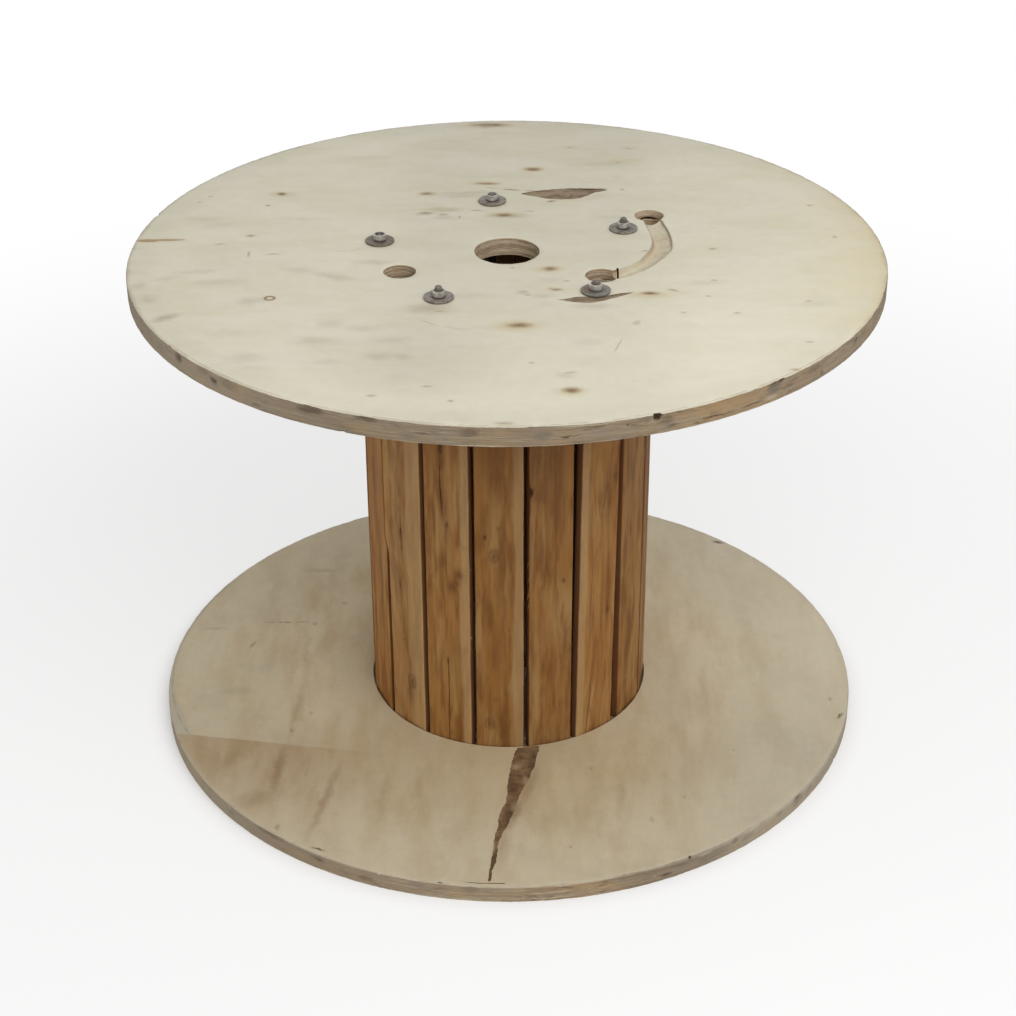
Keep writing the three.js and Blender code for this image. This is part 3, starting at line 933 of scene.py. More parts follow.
def stave(number, materials):
    """One board, its outer face weathered, with cracks, knots and worn corners."""
    rng = np.random.default_rng(CUP_SEED + number)
    waves, fine = Waves(WAVE_SEED + number, 260, 22, 16), Waves(FIBRE_SEED + number, 30, 6, 14)
    drift = Waves(DRIFT_SEED + number, 900, 160, 8)
    knots = KNOTS.get(number, [])
    half = (STAVE_WIDTH - NARROWER.get(number, 0)) / 2
    lean = math.radians(LEAN.get(number, 0))
    # A leaning board is shorter, so that its corners stay between the CAD board's ends
    slack = half * math.sin(abs(lean)) + 0.02
    low, high = STAVE_LOW + slack, STAVE_HIGH - slack
    z = np.linspace(low, high, BOARD_ROWS)

    # The outer face: how far each point lies below the board's outermost plane
    u, crack_depth = outer_columns(z, half, CRACKS.get(number, []))
    zz = z[:, None]
    relief = 0.34 + 0.2 * waves(u * 3.2, zz * 0.35) + 0.09 * fine(u * 2.4, zz * 0.3)
    relief += rng.uniform(-0.35, 0.5) * (1 - (u / half) ** 2)
    for knot in knots:
        away = reach(knot, u, zz)
        relief += 0.45 * knot[4] * (bell(away - 1.0, 0.35) - 0.6 * bell(away, 0.6))
    relief = np.clip(relief, 0.04, 3) + crack_depth

    # The two sides, from the clockwise one
    wear = [side_wear(z, seed + 10 * number) for seed in SIDE_SEEDS]
    # A notch and long wear in the edge that stave 2's splinters stand off
    if number == 2:
        wear[0] += bell(z - 455, 7) * 3.0 + bell(z - 430, 40) * 0.8
    # Staves 15 and 16 touch over their upper part, where the joint between them hardly shows
    if number in (15, 16):
        wear[16 - number] -= 2.9 * ease(z, 295, 340)
    # The staves behind meet at their inner corners, so that nothing shows through between them
    wedge = STAVE_WIDTH / 2 + 1.45 - half if number in BEHIND else -0.12
    end_wear = 0.7 * (2 - ease(z, low, low + 3) - ease(high - z, 0, 3))

    def flank(side):
        """The worn corner and the face at one side of the board, from the outer face inwards."""
        worn = wear[side > 0]
        at = side * (half - worn)
        deep = relief[:, -1 if side > 0 else 0] + end_wear
        corner = [(at - side * back * 1.3, deep + drop * (0.7 + worn * 0.8))
                  for back, drop in CORNER]
        return corner + [(at + side * (wedge + worn) * ease(depth, 4, 13), depth)
                         for depth in SIDE_DEPTHS]

    # Once round the board: its outer face, one side, its inner face and the other side
    ring = []
    for column, deep in zip(u.T, relief.T):
        share = np.clip((column + half) / (2 * half), 0, 1)
        ring.append((column + wear[0] * (1 - ease(share, 0, 0.12)) - wear[1] * ease(share, 0.88, 1),
                     deep + end_wear * 0.5))
    ring += flank(1)
    for share in np.linspace(0, 1, 9):
        ring.append(((half + wedge - 1.2) * (1 - 2 * share),
                     STAVE_DEPTH - 0.25 - 0.2 * np.sin(share * math.pi * 3) ** 2))
    ring += reversed(flank(-1))
    x, depth = (np.array([np.broadcast_to(value, z.shape) for value in values]).T
                for values in zip(*ring))
    zz = np.broadcast_to(zz, x.shape)

    # What the material needs: growth rings that bend round the knots, sapwood, stains and smears
    usual = rng.uniform(-14, 14), rng.uniform(0.3, 1.0), rng.uniform(6, 10)
    arch, pull, spacing = RINGS.get(number, usual)
    growth = np.abs(x - arch - 4 * drift(zz, zz * 0.3)) + pull * 0.05 * (zz - 360)
    growth += 3.0 * drift(x * 6, zz)
    stain, smear = np.zeros(x.shape), np.zeros(x.shape)
    for knot in knots:
        at, height, wide, tall, strength = knot
        push = np.exp(-np.abs(x - at) / (wide * 1.7))
        growth += bell(zz - height, tall * 2.6) * push * np.sign(x - at + 0.001) * wide * 0.9
        away = reach(knot, x, zz)
        dark = np.maximum(bell(away, 0.8) * 0.8, bell(away - 0.95, 0.45) * 0.65)
        stain = np.maximum(stain, strength * dark)
    for mark in SMEARS.get(number, []):
        smear = np.maximum(smear, mark[4] * bell(reach(mark, x, zz), 0.95))
    growth = growth / spacing + depth * 0.12
    edge = SAPWOOD.get(number, NO_SAPWOOD)
    sap = ease(math.copysign(1, edge) * (x - edge - 2.5 * drift(zz * 1.3, 0)), -2, 4)
    # How much painted shade the top flange lays on this board's upper part
    start, stop, share = PAINTED_TOP_SHADE.get(number, (0, 1, 0.0))
    board = np.stack([x, depth, zz + BOARD_STEP * number], axis=-1)
    tone = np.full(x.shape, TONES.get(number, USUAL_TONE))

    angle = math.radians(FIRST_STAVE + (number - 1) * 360 / STAVES)
    cos, sin = math.cos(angle), math.sin(angle)
    middle = (STAVE_LOW + STAVE_HIGH) / 2

    def placed(x, depth, z):
        """Points of this board's own axes, set where it stands."""
        side = x * math.cos(lean) + (z - middle) * math.sin(lean) + SHIFT.get(number, 0)
        height = middle + (z - middle) * math.cos(lean) - x * math.sin(lean)
        out = STAVE_FACE - depth
        return np.stack([cos * out - sin * side, sin * out + cos * side, height], axis=-1)

    points = placed(x, depth, zz)
    shell = Shell()
    shell.band(points, board=board, growth=growth, stain=stain, smear=smear, tone=tone,
               sap=np.maximum(sap, PALE.get(number, 0)),
               deeper=share * ease(zz + 30 * drift(x * 9, zz), start, stop))
    for end in (0, -1):
        ones = np.ones(x.shape[1])
        shell.cap(points[end], inset=0.5, board=board[end], growth=growth[end], sap=0 * ones,
                  tone=ones)
    side, splinters = SPLINTERS.get(number, (1, []))
    for start, start_z, stop, stop_z, far in splinters:
        edge = side * (half - 1.0)
        root = [(edge, start + aside, start_z + rise)
                for aside, rise in ((-0.4, 2), (0.5, 2), (0, -3))]
        half_way = [(edge + side * far * 0.7, (start + stop) / 2 + aside,
                     (start_z + stop_z) / 2 + rise)
                    for aside, rise in ((-0.25, 0), (0.3, 0), (0, -0.5))]
        tip = [(edge + side * far, stop, stop_z)] * 3
        sliver = np.array([root, half_way, tip])
        board = sliver * (1, 0, 1) + (0, 0, BOARD_STEP * number)
        ones = np.ones((3, 3))
        where = placed(*np.moveaxis(sliver, -1, 0))
        shell.band(where, board=board, sap=1.3 * ones, tone=ones)
        shell.add(where[0], [[0, 1, 2]], board=board[0], sap=1.3 * ones[0], tone=ones[0])
    return shell.build(f"stave_board_{number:02d}", materials, sharp=50)


# ---------------------------------------------------------------- rods, nuts and washers

THREAD_PITCH = 1.5
THREAD_DEPTH = 0.85
# How long the thread is at a rod's lower and upper end, and how far apart its rows of points lie
THREADS, THREAD_STEP, PLAIN_STEP = (24, 42), 0.25, 20
ROD_CHAMFER = 1.3
# How many points go round a rod, a nut and a washer
ROD_ROUND, NUT_ROUND, WASHER_ROUND = 36, 144, 120
# Half a nut's width across its flats, and how many degrees each top nut is turned past the last
NUT_FLATS, NUT_TURN = 8.5, 22
WASHER_RADIUS = 20.5
# A washer's upper face from its rim inwards: shares of its radius, and how far the face falls there
WASHER_FACE = ((1.0, 0.35), (0.982, 0.1), (0.95, 0), (0.88, 0), (0.78, 0), (0.68, 0), (0.58, 0),
               (0.48, 0), (0.4, 0), (0.34, 0.02), (0.3, 0.15))


def turned(x, y, rows, count):
    """Rings round an upright axis from rows of (radius, z), each one value or one a point."""
    return [lifted(circle(x, y, radius, count), z) for radius, z in rows]


def rod(number, materials):
    """A threaded rod: threads cut at both ends, plain between them."""
    low, high = (corner[2] for corner in extent(f"tie_rod_{number}"))
    first, last = low + THREADS[0], high - THREADS[1]
    heights = np.concatenate([np.arange(low, first, THREAD_STEP),
                              np.arange(first, last, PLAIN_STEP),
                              np.arange(last, high, THREAD_STEP), [high]])
    rows = []
    for z in heights:
        phase = (z / THREAD_PITCH - angles(ROD_ROUND) / TURN) % 1
        thread = np.clip(THREAD_DEPTH * np.abs(phase - 0.5) * 2.5 - 0.1, 0, THREAD_DEPTH)
        cut = ease(z, last - 2, last + 3) + 1 - ease(z, first - 3, first + 1)
        end = sum(np.clip(ROD_CHAMFER - gap, 0, ROD_CHAMFER) for gap in (high - z, z - low))
        rows.append((np.minimum(ROD_RADIUS - 0.02 - cut * thread, ROD_RADIUS - end), z))
    rings = turned(*RODS[number - 1], rows, ROD_ROUND)
    shell = Shell()
    shell.band(rings)
    for end in (0, -1):
        shell.cap(rings[end], inset=0.45)
    return shell.build(f"tie_rod_thread_{number}", materials, sharp=32)


def seat(node):
    """The axis of a nut's or washer's rod, and the heights between which it lies."""
    low, high = extent(node)
    return RODS[int(node[-1]) - 1], low[2] + 0.02, high[2] - 0.02


def loop_body(name, axis, rows, count, materials, sharp):
    """A ring-shaped body from the rows of its section, taken round and closed."""
    shell = Shell()
    rings = turned(*axis, rows, count)
    shell.band(rings + rings[:1])
    return shell.build(name, materials, sharp)


def nut(node, name, materials, *, turn, seed):
    """A hexagon nut with turned corners and a plain bore, a rod's end passing through it."""
    axis, base, top = seat(node)
    corner = NUT_FLATS / math.cos(TURN / 12) - 0.25 - 0.15 * np.random.default_rng(seed).random()
    angle = angles(NUT_ROUND) - math.radians(turn)
    hexagon = NUT_FLATS / np.cos((angle + TURN / 12) % (TURN / 6) - TURN / 12)
    worn = np.minimum(hexagon, corner)
    fall = np.clip((worn - NUT_FLATS * 0.96) * 0.6, 0, None)
    bore = ROD_RADIUS + 0.45
    rows = [(bore + 0.9, base), (bore + 2.0, base), (NUT_FLATS * 0.95, base), (worn, base + fall),
            (worn, base + fall + 0.3)]
    rows += [(worn, base + (top - base) * (0.1 + share * 0.8)) for share in (0.2, 0.4, 0.6, 0.8)]
    rows += [(worn, top - fall - 0.3), (worn, top - fall), (NUT_FLATS * 0.95, top),
             (bore + 2.0, top), (bore + 0.9, top), (bore, top - 0.8), (bore, base + 0.8)]
    return loop_body(name, axis, rows, NUT_ROUND, materials, sharp=35)


def washer(node, name, materials, *, seed):
    """A flat washer with an uneven rim."""
    axis, base, top = seat(node)
    step = TURN * WASHER_RADIUS / WASHER_ROUND
    rim = WASHER_RADIUS - 0.05 - 0.16 * np.abs(rough(seed, WASHER_ROUND, 8 / step)[0])
    wave = 0.1 * rough(seed + 1, WASHER_ROUND, 16 / step)[0] - 0.2
    hole = ROD_RADIUS + 0.5
    rows = [(hole, base + 0.3), (hole + 0.4, base), (12.0, base), (19.6, base + 0.03),
            (rim - 0.35, base + 0.1), (rim, base + 0.5), (rim, top - 0.8)]
    rows += [(np.maximum(rim * share, hole + 0.25), np.minimum(top + wave - fall, top))
             for share, fall in WASHER_FACE]
    rows.append((hole, top - 1.0))
    return loop_body(name, axis, rows, WASHER_ROUND, materials, sharp=50)


# ---------------------------------------------------------------- materials

# Marks on the top face: x, y, half-length, half-width, strength, and an angle where they are turned
TOP_GLOWS = [(-333, 215, 26, 16, 0.7), (-116, 212, 24, 13, 0.7), (-31, 254, 34, 13, 0.7),
    (13, -243, 44, 24, 0.85), (78, -429, 28, 16, 0.8), (59, -62, 30, 17, 0.8),
    (190, -148, 46, 16, 0.7), (-316, -155, 20, 16, 0.35), (40, 310, 28, 16, 0.8),
    (-4, 130, 36, 16, 0.85), (-100, 150, 60, 14, 0.35), (-26, 503, 80, 22, 0.6),
    (98, 403, 28, 14, 0.4), (189, 396, 20, 12, 0.4), (177, 344, 38, 14, 0.4),
    (167, 276, 18, 12, 0.3), (-104, -192, 44, 18, 0.35), (-488, 41, 56, 14, 0.4),
    (90, 186, 56, 10, 0.35), (-130, -230, 60, 20, 0.2), (-349, 170, 14, 9, 0.3),
    (-363, 57, 16, 10, 0.3), (64, -131, 24, 12, 0.4), (287, 4, 16, 9, 0.25),
    (358, -374, 20, 9, 0.3), (130, 196, 36, 12, 0.35, 30), (230, -140, 30, 10, 0.3)]
TOP_SMEARS = [(-70, 205, 46, 12, 0.3), (-118, 136, 24, 10, 0.5), (-92, 150, 34, 12, 0.35),
    (-115, 214, 22, 10, 0.4), (0, 128, 38, 13, 0.5), (-26, 503, 40, 14, 0.6),
    (-283, -60, 34, 14, 0.22, -10), (-236, -84, 44, 15, 0.3, -20), (-447, -216, 28, 13, 0.6, 28),
    (-495, -112, 15, 17, 0.3), (-478, -156, 17, 17, 0.3), (-462, -90, 30, 14, 0.22, 16),
    (-425, -68, 44, 13, 0.22, 10), (-385, -102, 48, 13, 0.2, 6), (-340, -164, 28, 17, 0.3, 10),
    (-185, -36, 34, 14, 0.3), (-436, 120, 40, 12, 0.2), (-90, 120, 26, 8, 0.3),
    (-60, 215, 60, 8, 0.3), (150, 120, 40, 10, 0.16), (-229, -234, 27, 20, 0.24),
    (-188, -247, 34, 15, 0.24), (-249, -287, 38, 18, 0.24, 8), (-163, -331, 24, 17, 0.3),
    (-132, -333, 20, 14, 0.28), (-332, -334, 32, 20, 0.26), (-317, -364, 30, 13, 0.22),
    (-225, -347, 28, 13, 0.2), (-148, -284, 34, 16, 0.24), (-104, -190, 48, 22, 0.4),
    (21, -142, 14, 10, 0.5), (48, -149, 24, 11, 0.28), (113, -184, 38, 12, 0.3),
    (102, -292, 26, 13, 0.16), (72, -385, 20, 14, 0.24), (14, -243, 24, 12, 0.35),
    (60, -100, 30, 12, 0.16), (-60, -150, 60, 14, 0.16), (270, -110, 40, 12, 0.18),
    (400, -180, 50, 14, 0.16), (-300, 120, 50, 12, 0.16), (-410, 97, 30, 16, 0.14),
    (150, 330, 60, 14, 0.18), (-220, 360, 60, 14, 0.14)]
TOP_KNOTS = [(-333, 215, 8, 7, 0.95), (-349, 170, 4, 3.4, 0.75), (-363, 57, 7, 5, 0.55),
    (-359, -8, 2.4, 12, 0.55), (-325, -8, 12, 2.4, 0.5), (-404, 28, 11, 4, 0.3),
    (-437, 206, 5, 4, 0.4), (-451, 183, 5, 3, 0.4), (40, 310, 15, 9, 0.9), (-4, 129, 13, 8, 0.85),
    (-30, 252, 22, 6, 0.75), (-28, 505, 34, 9, 0.55), (-17, 505, 12, 7, 0.8),
    (16, -242, 17, 8, 0.8), (30, -240, 5, 3, 0.5), (78, -427, 13, 9, 0.9), (59, -62, 12, 9, 0.8),
    (191, -144, 14, 6, 0.95), (222, -134, 10, 4, 0.5, -20), (140, 229, 12, 3, 0.85, 6),
    (65, 181, 9, 4, 0.75, 20), (172, 226, 4, 3, 0.7), (-44, 148, 12, 2.6, 0.6, -10),
    (-68, 123, 2.4, 6, 0.5), (34, 144, 9, 2.4, 0.5), (-119, 213, 11, 6, 0.65),
    (-118, 139, 11, 5, 0.55), (-92, 133, 9, 5, 0.5), (7, -59, 4, 3, 0.45), (27, -148, 6, 3.4, 0.4),
    (66, -131, 10, 5, 0.65), (59, -127, 5, 3, 0.4), (193, -2, 6, 4, 0.5), (80, -103, 5, 3.4, 0.45),
    (-89, -198, 7, 3, 0.35), (231, -205, 6, 4, 0.35), (190, 396, 6, 4, 0.3), (171, 337, 5, 3, 0.3),
    (98, 402, 6, 4, 0.3), (287, 4, 6, 4, 0.5), (463, 44, 5, 4, 0.45), (442, 161, 6, 4, 0.45),
    (280, -103, 6, 4, 0.4), (268, -154, 5, 3, 0.4), (301, -207, 6, 4, 0.4), (385, -295, 7, 4, 0.4),
    (358, -374, 8, 4, 0.5), (399, -171, 5, 4, 0.35), (-69, -455, 5, 3.4, 0.5),
    (-4, -513, 14, 5, 0.5), (-99, -416, 9, 3, 0.4), (-166, -440, 8, 4, 0.4), (30, -351, 5, 4, 0.35)]
TOP_SCRATCHES = [(-230, 1, 11.5, 1.0, 0.4, -8), (-210, 7, 12.5, 1.0, 0.4, 35),
    (-24, 235.5, 12, 1.1, 0.8, -17), (7, 227.5, 17, 2.4, 0.9, -10), (39, 222, 16, 2.0, 0.8, -8),
    (141, -303, 26, 1.7, 0.4, 72), (168, -236, 9, 6, 0.35, 70), (78, -379, 10, 2.4, 0.4, 10),
    (-101, -234, 18, 1.2, 0.45, -39), (-66, -251, 20, 1.2, 0.35, -14)]
# Painted shade along the groove's edges, on the face and in the groove
GROOVE_SHADE_COLOUR = (112, 88, 60)


def veneer_top():
    net = painted("veneer_top")
    x, y, flat = net.plan()
    away = net.length(flat)
    drift = net.cloud(flat, (500, 260))
    cloud = net.cloud(flat, (170, 60), 4, 0.55)
    band = net.cloud(flat, (1400, 34))
    grain = net.cloud(flat, (70, 3), 3, 0.6)
    fibre = net.cloud(flat, (22, 0.7), 2, 0.6)
    net.base(net.ease(cloud, 0.4, 0.66), (213, 207, 188), (207, 201, 178))
    green = net.cloud(net.vector("ADD", flat, (900, 300, 0)), (260, 120), 2)
    net.paint(net.ease(green, 0.5, 0.7) * 0.3, 205, 200, 170)
    # Painted light: lighter towards the front right. A little warmer at the right
    net.paint(net.ease(x * 0.5 - y, 60, 420) * 0.6, 221, 215, 194)
    net.paint(net.ease(x + (cloud - 0.5) * 160, 330, 560) * 0.6, 214, 202, 166)
    grey = net.ease(net.cloud(flat, (110, 46), 4, 0.6), 0.52, 0.74)
    net.paint(grey * 0.2, 190, 185, 166)
    tone = 0.93 + drift * 0.04 + band * 0.03 + grain * 0.035 + fibre * 0.02
    tone = tone + net.ease(abs(x - 20.0), 110, 250) * 0.09
    tone = tone - net.spots(flat, 0.1, 1.2, [(-150, -350, 160, 130, 1.0), (215, 400, 130, 90, 0.8),
                                             (110, 215, 60, 40, 0.6)]) * 0.09
    tone = tone - net.ease(away, 470, 510) * 0.05
    net.tone(tone + (net.cloud(flat, (20, 20), 4, 0.65) - 0.5) * 0.13)
    # Short broken dashes along the grain, and scattered specks
    some = net.ease(net.cloud(flat, (150, 70), 2), 0.52, 0.68)
    dashes = net.ease(net.cloud(flat, (26, 1.8), 1), 0.7, 0.8) * some
    net.paint(dashes * 0.35, 166, 152, 124)
    ragged_flat = net.warped(flat, 9, 2.6)
    some = net.ease(net.cloud(flat, (45, 45), 1), 0.62, 0.72)
    specks = net.dots(net.scaled(ragged_flat, 1 / 44, 1 / 30), 0.02, 0.06)
    net.paint(specks * some * 0.5, 150, 130, 98)
    # Tan glows round the knots and soft grey smears, then knots, stains and scuffs themselves
    net.paint(net.spots(net.warped(flat, 30, 8), 0.0, 1.1, TOP_GLOWS), 196, 180, 140)
    net.paint(net.spots(net.warped(flat, 26, 11), 0.0, 1.15, TOP_SMEARS), 150, 142, 120)
    net.paint(net.spots(ragged_flat, 0.0, 1.3, TOP_KNOTS), 118, 84, 48)
    net.paint(net.spots(net.warped(flat, 16, 1.2), 0.5, 1.1, TOP_SCRATCHES), 150, 136, 106)
    # The brown bar at the left, and a nail's ring
    bar = [(-506, 41, 20, 6.5, 0.85), (-480, 43, 24, 4.6, 0.8), (-464, 44, 12, 3.6, 0.6)]
    net.paint(net.spots(net.warped(flat, 12, 1.6), 0.6, 1.05, bar), 160, 130, 88)
    ring = net.spots(flat, 0.75, 1.1, [(-316, -155, 8.6, 8.2, 1.0)])
    hollow = net.spots(flat, 0.55, 1.1, [(-316, -155, 5.2, 4.8, 1.0)])
    net.paint((ring - hollow) * 0.85, 126, 96, 60)
    # A tan band along the right rim, wear, a line along the front rim, and painted shade along the
    # groove's edges
    bare = net.ease(away + (cloud - 0.5) * 14, 506, 520) * net.ease(x, 440, 490)
    net.paint(bare * 0.28, 200, 180, 138)
    net.paint(net.ease(away + (cloud - 0.5) * 16, 518, 526) * 0.45, 150, 134, 108)
    line = net.ease(abs(away - 519.3), 0.3, 1.1, 1, 0) * net.ease(y, -280, -340)
    net.paint(line * net.ease(net.cloud(flat, (26, 26)), 0.4, 0.5) * 0.5, 140, 128, 104)
    net.paint(net.ease(net.attribute("crease"), 0.1, 0.9) * 0.75, *GROOVE_SHADE_COLOUR)
    return net.finish(0.62, 0.28, grain * 0.5 + fibre * 0.4 + dashes * -0.8, 0.12)


LOW_STREAKS = [
    (-336, -268, 80, 12, 0.62, 85), (-262, -330, 105, 9, 0.5, 79), (-322, -130, 100, 8, 0.25, 86),
    (-318, 40, 120, 9, 0.2, 94), (-360, -330, 46, 26, 0.35, 20), (-410, -240, 40, 14, 0.3, 60),
    (160, -330, 60, 9, 0.2, 84), (-180, -330, 70, 10, 0.22, 88), (-130, -300, 50, 9, 0.2, 92),
    (300, -60, 80, 10, 0.18, 88)]
LOW_MARKS = [
    (-264, -443, 15, 2.6, 0.95, -24), (359, 370, 12, 5, 0.85, -20), (498, -135, 11, 4, 0.85, 58),
    (489, -92, 4, 6, 0.4), (-267, 183, 6, 6, 0.3), (-405, 62, 3, 12, 0.5, -20),
    (-299, -123, 4, 6, 0.3), (-324, -167, 4, 8, 0.35), (-311, 122, 5, 6, 0.3),
    (-470, 109, 26, 5, 0.2), (-416, -64, 34, 14, 0.15), (-324, -396, 5, 8, 0.4),
    (-313, 285, 34, 8, 0.2), (200, -380, 4, 9, 0.25), (120, -262, 5, 6, 0.2), (84, -440, 3, 4, 0.3),
    (250, -330, 4, 5, 0.25), (330, -220, 4, 5, 0.2)]
LOW_CRACKS = [(-519.2, -24.9, 37, 1.6, 0.42, -86), (-510, -87.8, 27, 1.6, 0.42, -76),
              (-495.8, -133.2, 21, 1.6, 0.42, -68), (-481.2, -165.2, 14.5, 1.4, 0.4, -61.6)]


def veneer_low():
    net = painted("veneer_low")
    x, y, flat = net.plan()
    away = net.length(flat)
    drift = net.cloud(flat, (240, 500))
    cloud = net.cloud(flat, (46, 150), 5, 0.6)
    band = net.cloud(flat, (24, 900))
    grain = net.cloud(flat, (2.4, 80), 3, 0.6)
    fibre = net.cloud(flat, (0.8, 22), 2, 0.6)
    grey = net.cloud(net.vector("ADD", flat, (400, 700, 0)), (90, 90), 4, 0.6)
    net.base(net.ease(cloud, 0.4, 0.68), (198, 184, 156), (184, 165, 132))
    net.paint(net.ease(away, 330, 500) * 0.5, 200, 189, 164)
    net.paint(net.ease(grey, 0.5, 0.7) * 0.35, 176, 165, 143)
    net.paint(net.ease(away, 230, 330, 1, 0) * 0.35, 176, 158, 128)
    # Darker near the barrel at the front: painted shade under the upper flange
    net.paint(net.ease(away, 320, 440, 1, 0) * net.ease(y, -120, -230) * 0.4, 172, 150, 116)
    net.paint(net.ease(x, 150, 380) * 0.3, 186, 181, 165)
    # The browner veneer beyond a joint at the front left, darkest along the joint
    joint = (y + 173.0) + (x + 483.0) * 0.172 + (net.cloud(flat, (60, 60), 2) - 0.5) * 5
    beyond = net.ease(joint, -3.5, 0.5, 1, 0)
    fade = net.ease(joint, -260, -20) * net.ease(x, -330, -150, 1, 0)
    brown = 0.66 + net.ease(cloud, 0.4, 0.66) * 0.34
    net.paint(beyond * fade * brown * 0.8, 165, 138, 102)
    slant = net.join(x * 0.96 - y * 0.28, x * 0.28 + y * 0.96)
    scuff = net.cloud(slant, (5, 110), 3, 0.6)
    tone = 0.865 + drift * 0.05 + band * 0.04 + grain * 0.05 + fibre * 0.03 + scuff * 0.06
    # Painted light: lighter towards the back, and near the barrel
    tone = tone + net.ease(y, -260, 150) * 0.19 + net.ease(away, 300, 400, 0.06, 0)
    tone = tone + net.ease(x + y, 150, 400) * 0.05
    net.tone(tone + (net.cloud(flat, (16, 16), 4, 0.7) - 0.5) * 0.17)
    # Brown streaks along the grain, browner wood beside the missing strip, and a line at the left
    net.paint(net.spots(net.warped(flat, 30, 9), 0.0, 1.15, LOW_STREAKS), 132, 104, 72)
    soft = net.warped(flat, 12, 4)
    strip = net.spots(soft, 0.0, 1.2, [(26, -300, 110, 32, 0.4, 76), (-10, -430, 80, 16, 0.35, 82)])
    darker = net.spots(soft, 0.1, 1.2, [(30, -300, 72, 15, 0.6, 76), (8, -362, 44, 14, 0.75, 74),
                                        (-1, -390, 26, 12, 0.5, 76)])
    head = net.spots(soft, 0.7, 1.1, [(29, -207.5, 18, 5, 0.9, -8)])
    net.paint(net.most(strip, darker, head), 138, 111, 78)
    broken = net.ease(net.cloud(flat, (9, 9), 2), 0.42, 0.56)
    line = net.spots(net.warped(flat, 12, 2), 0.5, 1.0, [(-358, 127, 50, 2.6, 0.6)])
    net.paint(line * broken, 120, 98, 68)
    ragged_flat = net.warped(flat, 8, 4)
    net.paint(net.spots(ragged_flat, 0.1, 1.2, LOW_MARKS), 96, 76, 54)
    some = net.ease(net.cloud(flat, (60, 60), 1), 0.6, 0.72)
    specks = net.dots(net.scaled(ragged_flat, 1 / 34, 1 / 50), 0.02, 0.05)
    net.paint(specks * some * 0.35, 122, 100, 70)
    # A dark crack some way inside the rim at the left, the wood beyond it bleached grey
    outside = net.ease(away + net.ease(y, -10, -180, 0, 17), 519, 521.5)
    outside = outside * net.ease(x, -440, -470) * net.ease(y, -185, -170)
    net.paint(outside * 0.6, 178, 172, 156)
    crack = net.spots(net.warped(flat, 10, 1.4), 0.3, 1.2, LOW_CRACKS)
    net.paint(crack * net.ease(net.cloud(flat, (12, 12)), 0.3, 0.5), 118, 102, 80)
    net.paint(net.ease(away + (cloud - 0.5) * 16, 514, 526) * 0.35, 188, 178, 156)
    return net.finish(0.64, 0.25, grain * 0.5 + fibre * 0.4, 0.14)


def veneer_under():
    net = painted("veneer_under")
    _, _, flat = net.plan()
    grain = net.cloud(flat, (80, 2.6), 3, 0.6)
    net.base(net.ease(net.cloud(flat, (180, 70), 4), 0.4, 0.7), (205, 192, 162), (184, 164, 128))
    net.tone(0.92 + grain * 0.1 + net.cloud(flat, (20, 0.8), 2) * 0.04)
    return net.finish(0.68, 0.22, grain, 0.12)


def rim_rows(upper, lower):
    """Rows of spots from marks at an angle, mm below a flange's top, half-sizes and strength."""
    return [(start + math.radians(angle % 360) * RIM, down, wide, tall, strength)
            for start, marks in ((0.0, upper), (LOWER_RIM, lower))
            for angle, down, wide, tall, strength in marks]


RIM_DARK = rim_rows(
    [(-142.5, 7, 10, 9, 0.8), (-131, 6, 20, 10, 0.3), (-136.5, 5, 14, 6, 0.25),
     (-155.8, 18, 7, 3, 0.6), (-117, 5, 24, 5.5, 0.6), (-108.8, 2, 18, 3, 0.6),
     (-95, 8, 16, 7, 0.5), (-70, 4, 6.5, 5.5, 0.85), (-68.6, 8, 12, 6, 0.35),
     (-74.2, 7.3, 2, 2, 0.9), (-60.5, 19.5, 30, 1.2, 0.7), (-55.1, 19, 20, 1.2, 0.6),
     (-41.1, 19, 6, 4, 0.6), (-51.3, 1.6, 16, 1.4, 0.6), (-126, 20, 10, 3, 0.4),
     (-101, 12, 14, 1.4, 0.5), (-82, 14, 24, 1.2, 0.45), (-78, 5, 10, 3, 0.35)],
    [(-129.6, 5, 34, 5, 0.4), (-120.3, 9.5, 18, 6, 0.3), (-65.9, 18, 12, 4, 0.5),
     (-61.8, 3, 4, 4, 0.3), (-38.2, 8, 17, 8, 0.45), (-43.2, 8, 10, 5, 0.3),
     (-86.5, 24.6, 60, 1.0, 0.5), (-112, 16, 16, 5, 0.35)])
RIM_GREY = rim_rows(
    [(-134.2, 11.5, 10, 8, 0.75), (-85.6, 12, 15, 8, 0.6), (-71.6, 5, 6, 5, 0.6),
     (-68.4, 3.4, 5, 5, 0.5), (-51.3, 8, 17, 9, 0.8), (-31.5, 8, 12, 9, 0.7),
     (-148, 12, 12, 8, 0.4), (-103, 18, 16, 6, 0.4)],
    [(-95.7, 6, 14, 7, 0.6), (-53.3, 7, 8, 6, 0.6), (-57.3, 12, 38, 12, 0.35),
     (-34.5, 12, 14, 8, 0.4), (-139, 12, 14, 8, 0.4), (-104, 6, 16, 4, 0.4)])
RIM_TAN = rim_rows(
    [(-129.3, 8, 18, 6, 0.3), (-91.1, 5.5, 12, 4.5, 0.35), (-60, 9, 78, 10, 0.4),
     (-53.8, 5.7, 3, 2, 0.8), (-110, 14, 26, 8, 0.4)],
    [(-98, 15, 16, 6, 0.4), (-76, 14, 30, 6, 0.45), (-124, 14, 20, 6, 0.3)])
RIM_PALE = rim_rows(
    [(-51.7, 19.5, 16, 3.4, 0.35), (-94, 24.6, 38, 0.9, 0.8), (-79, 1.6, 60, 0.9, 0.5)],
    [(-139.4, 6, 5, 4, 0.6), (-109.8, 2, 1.6, 2.2, 0.9), (-86.3, 21.6, 66, 1.2, 0.75),
     (-67.8, 15, 1.8, 1.5, 0.9), (-59, 5, 14, 3, 0.5)])


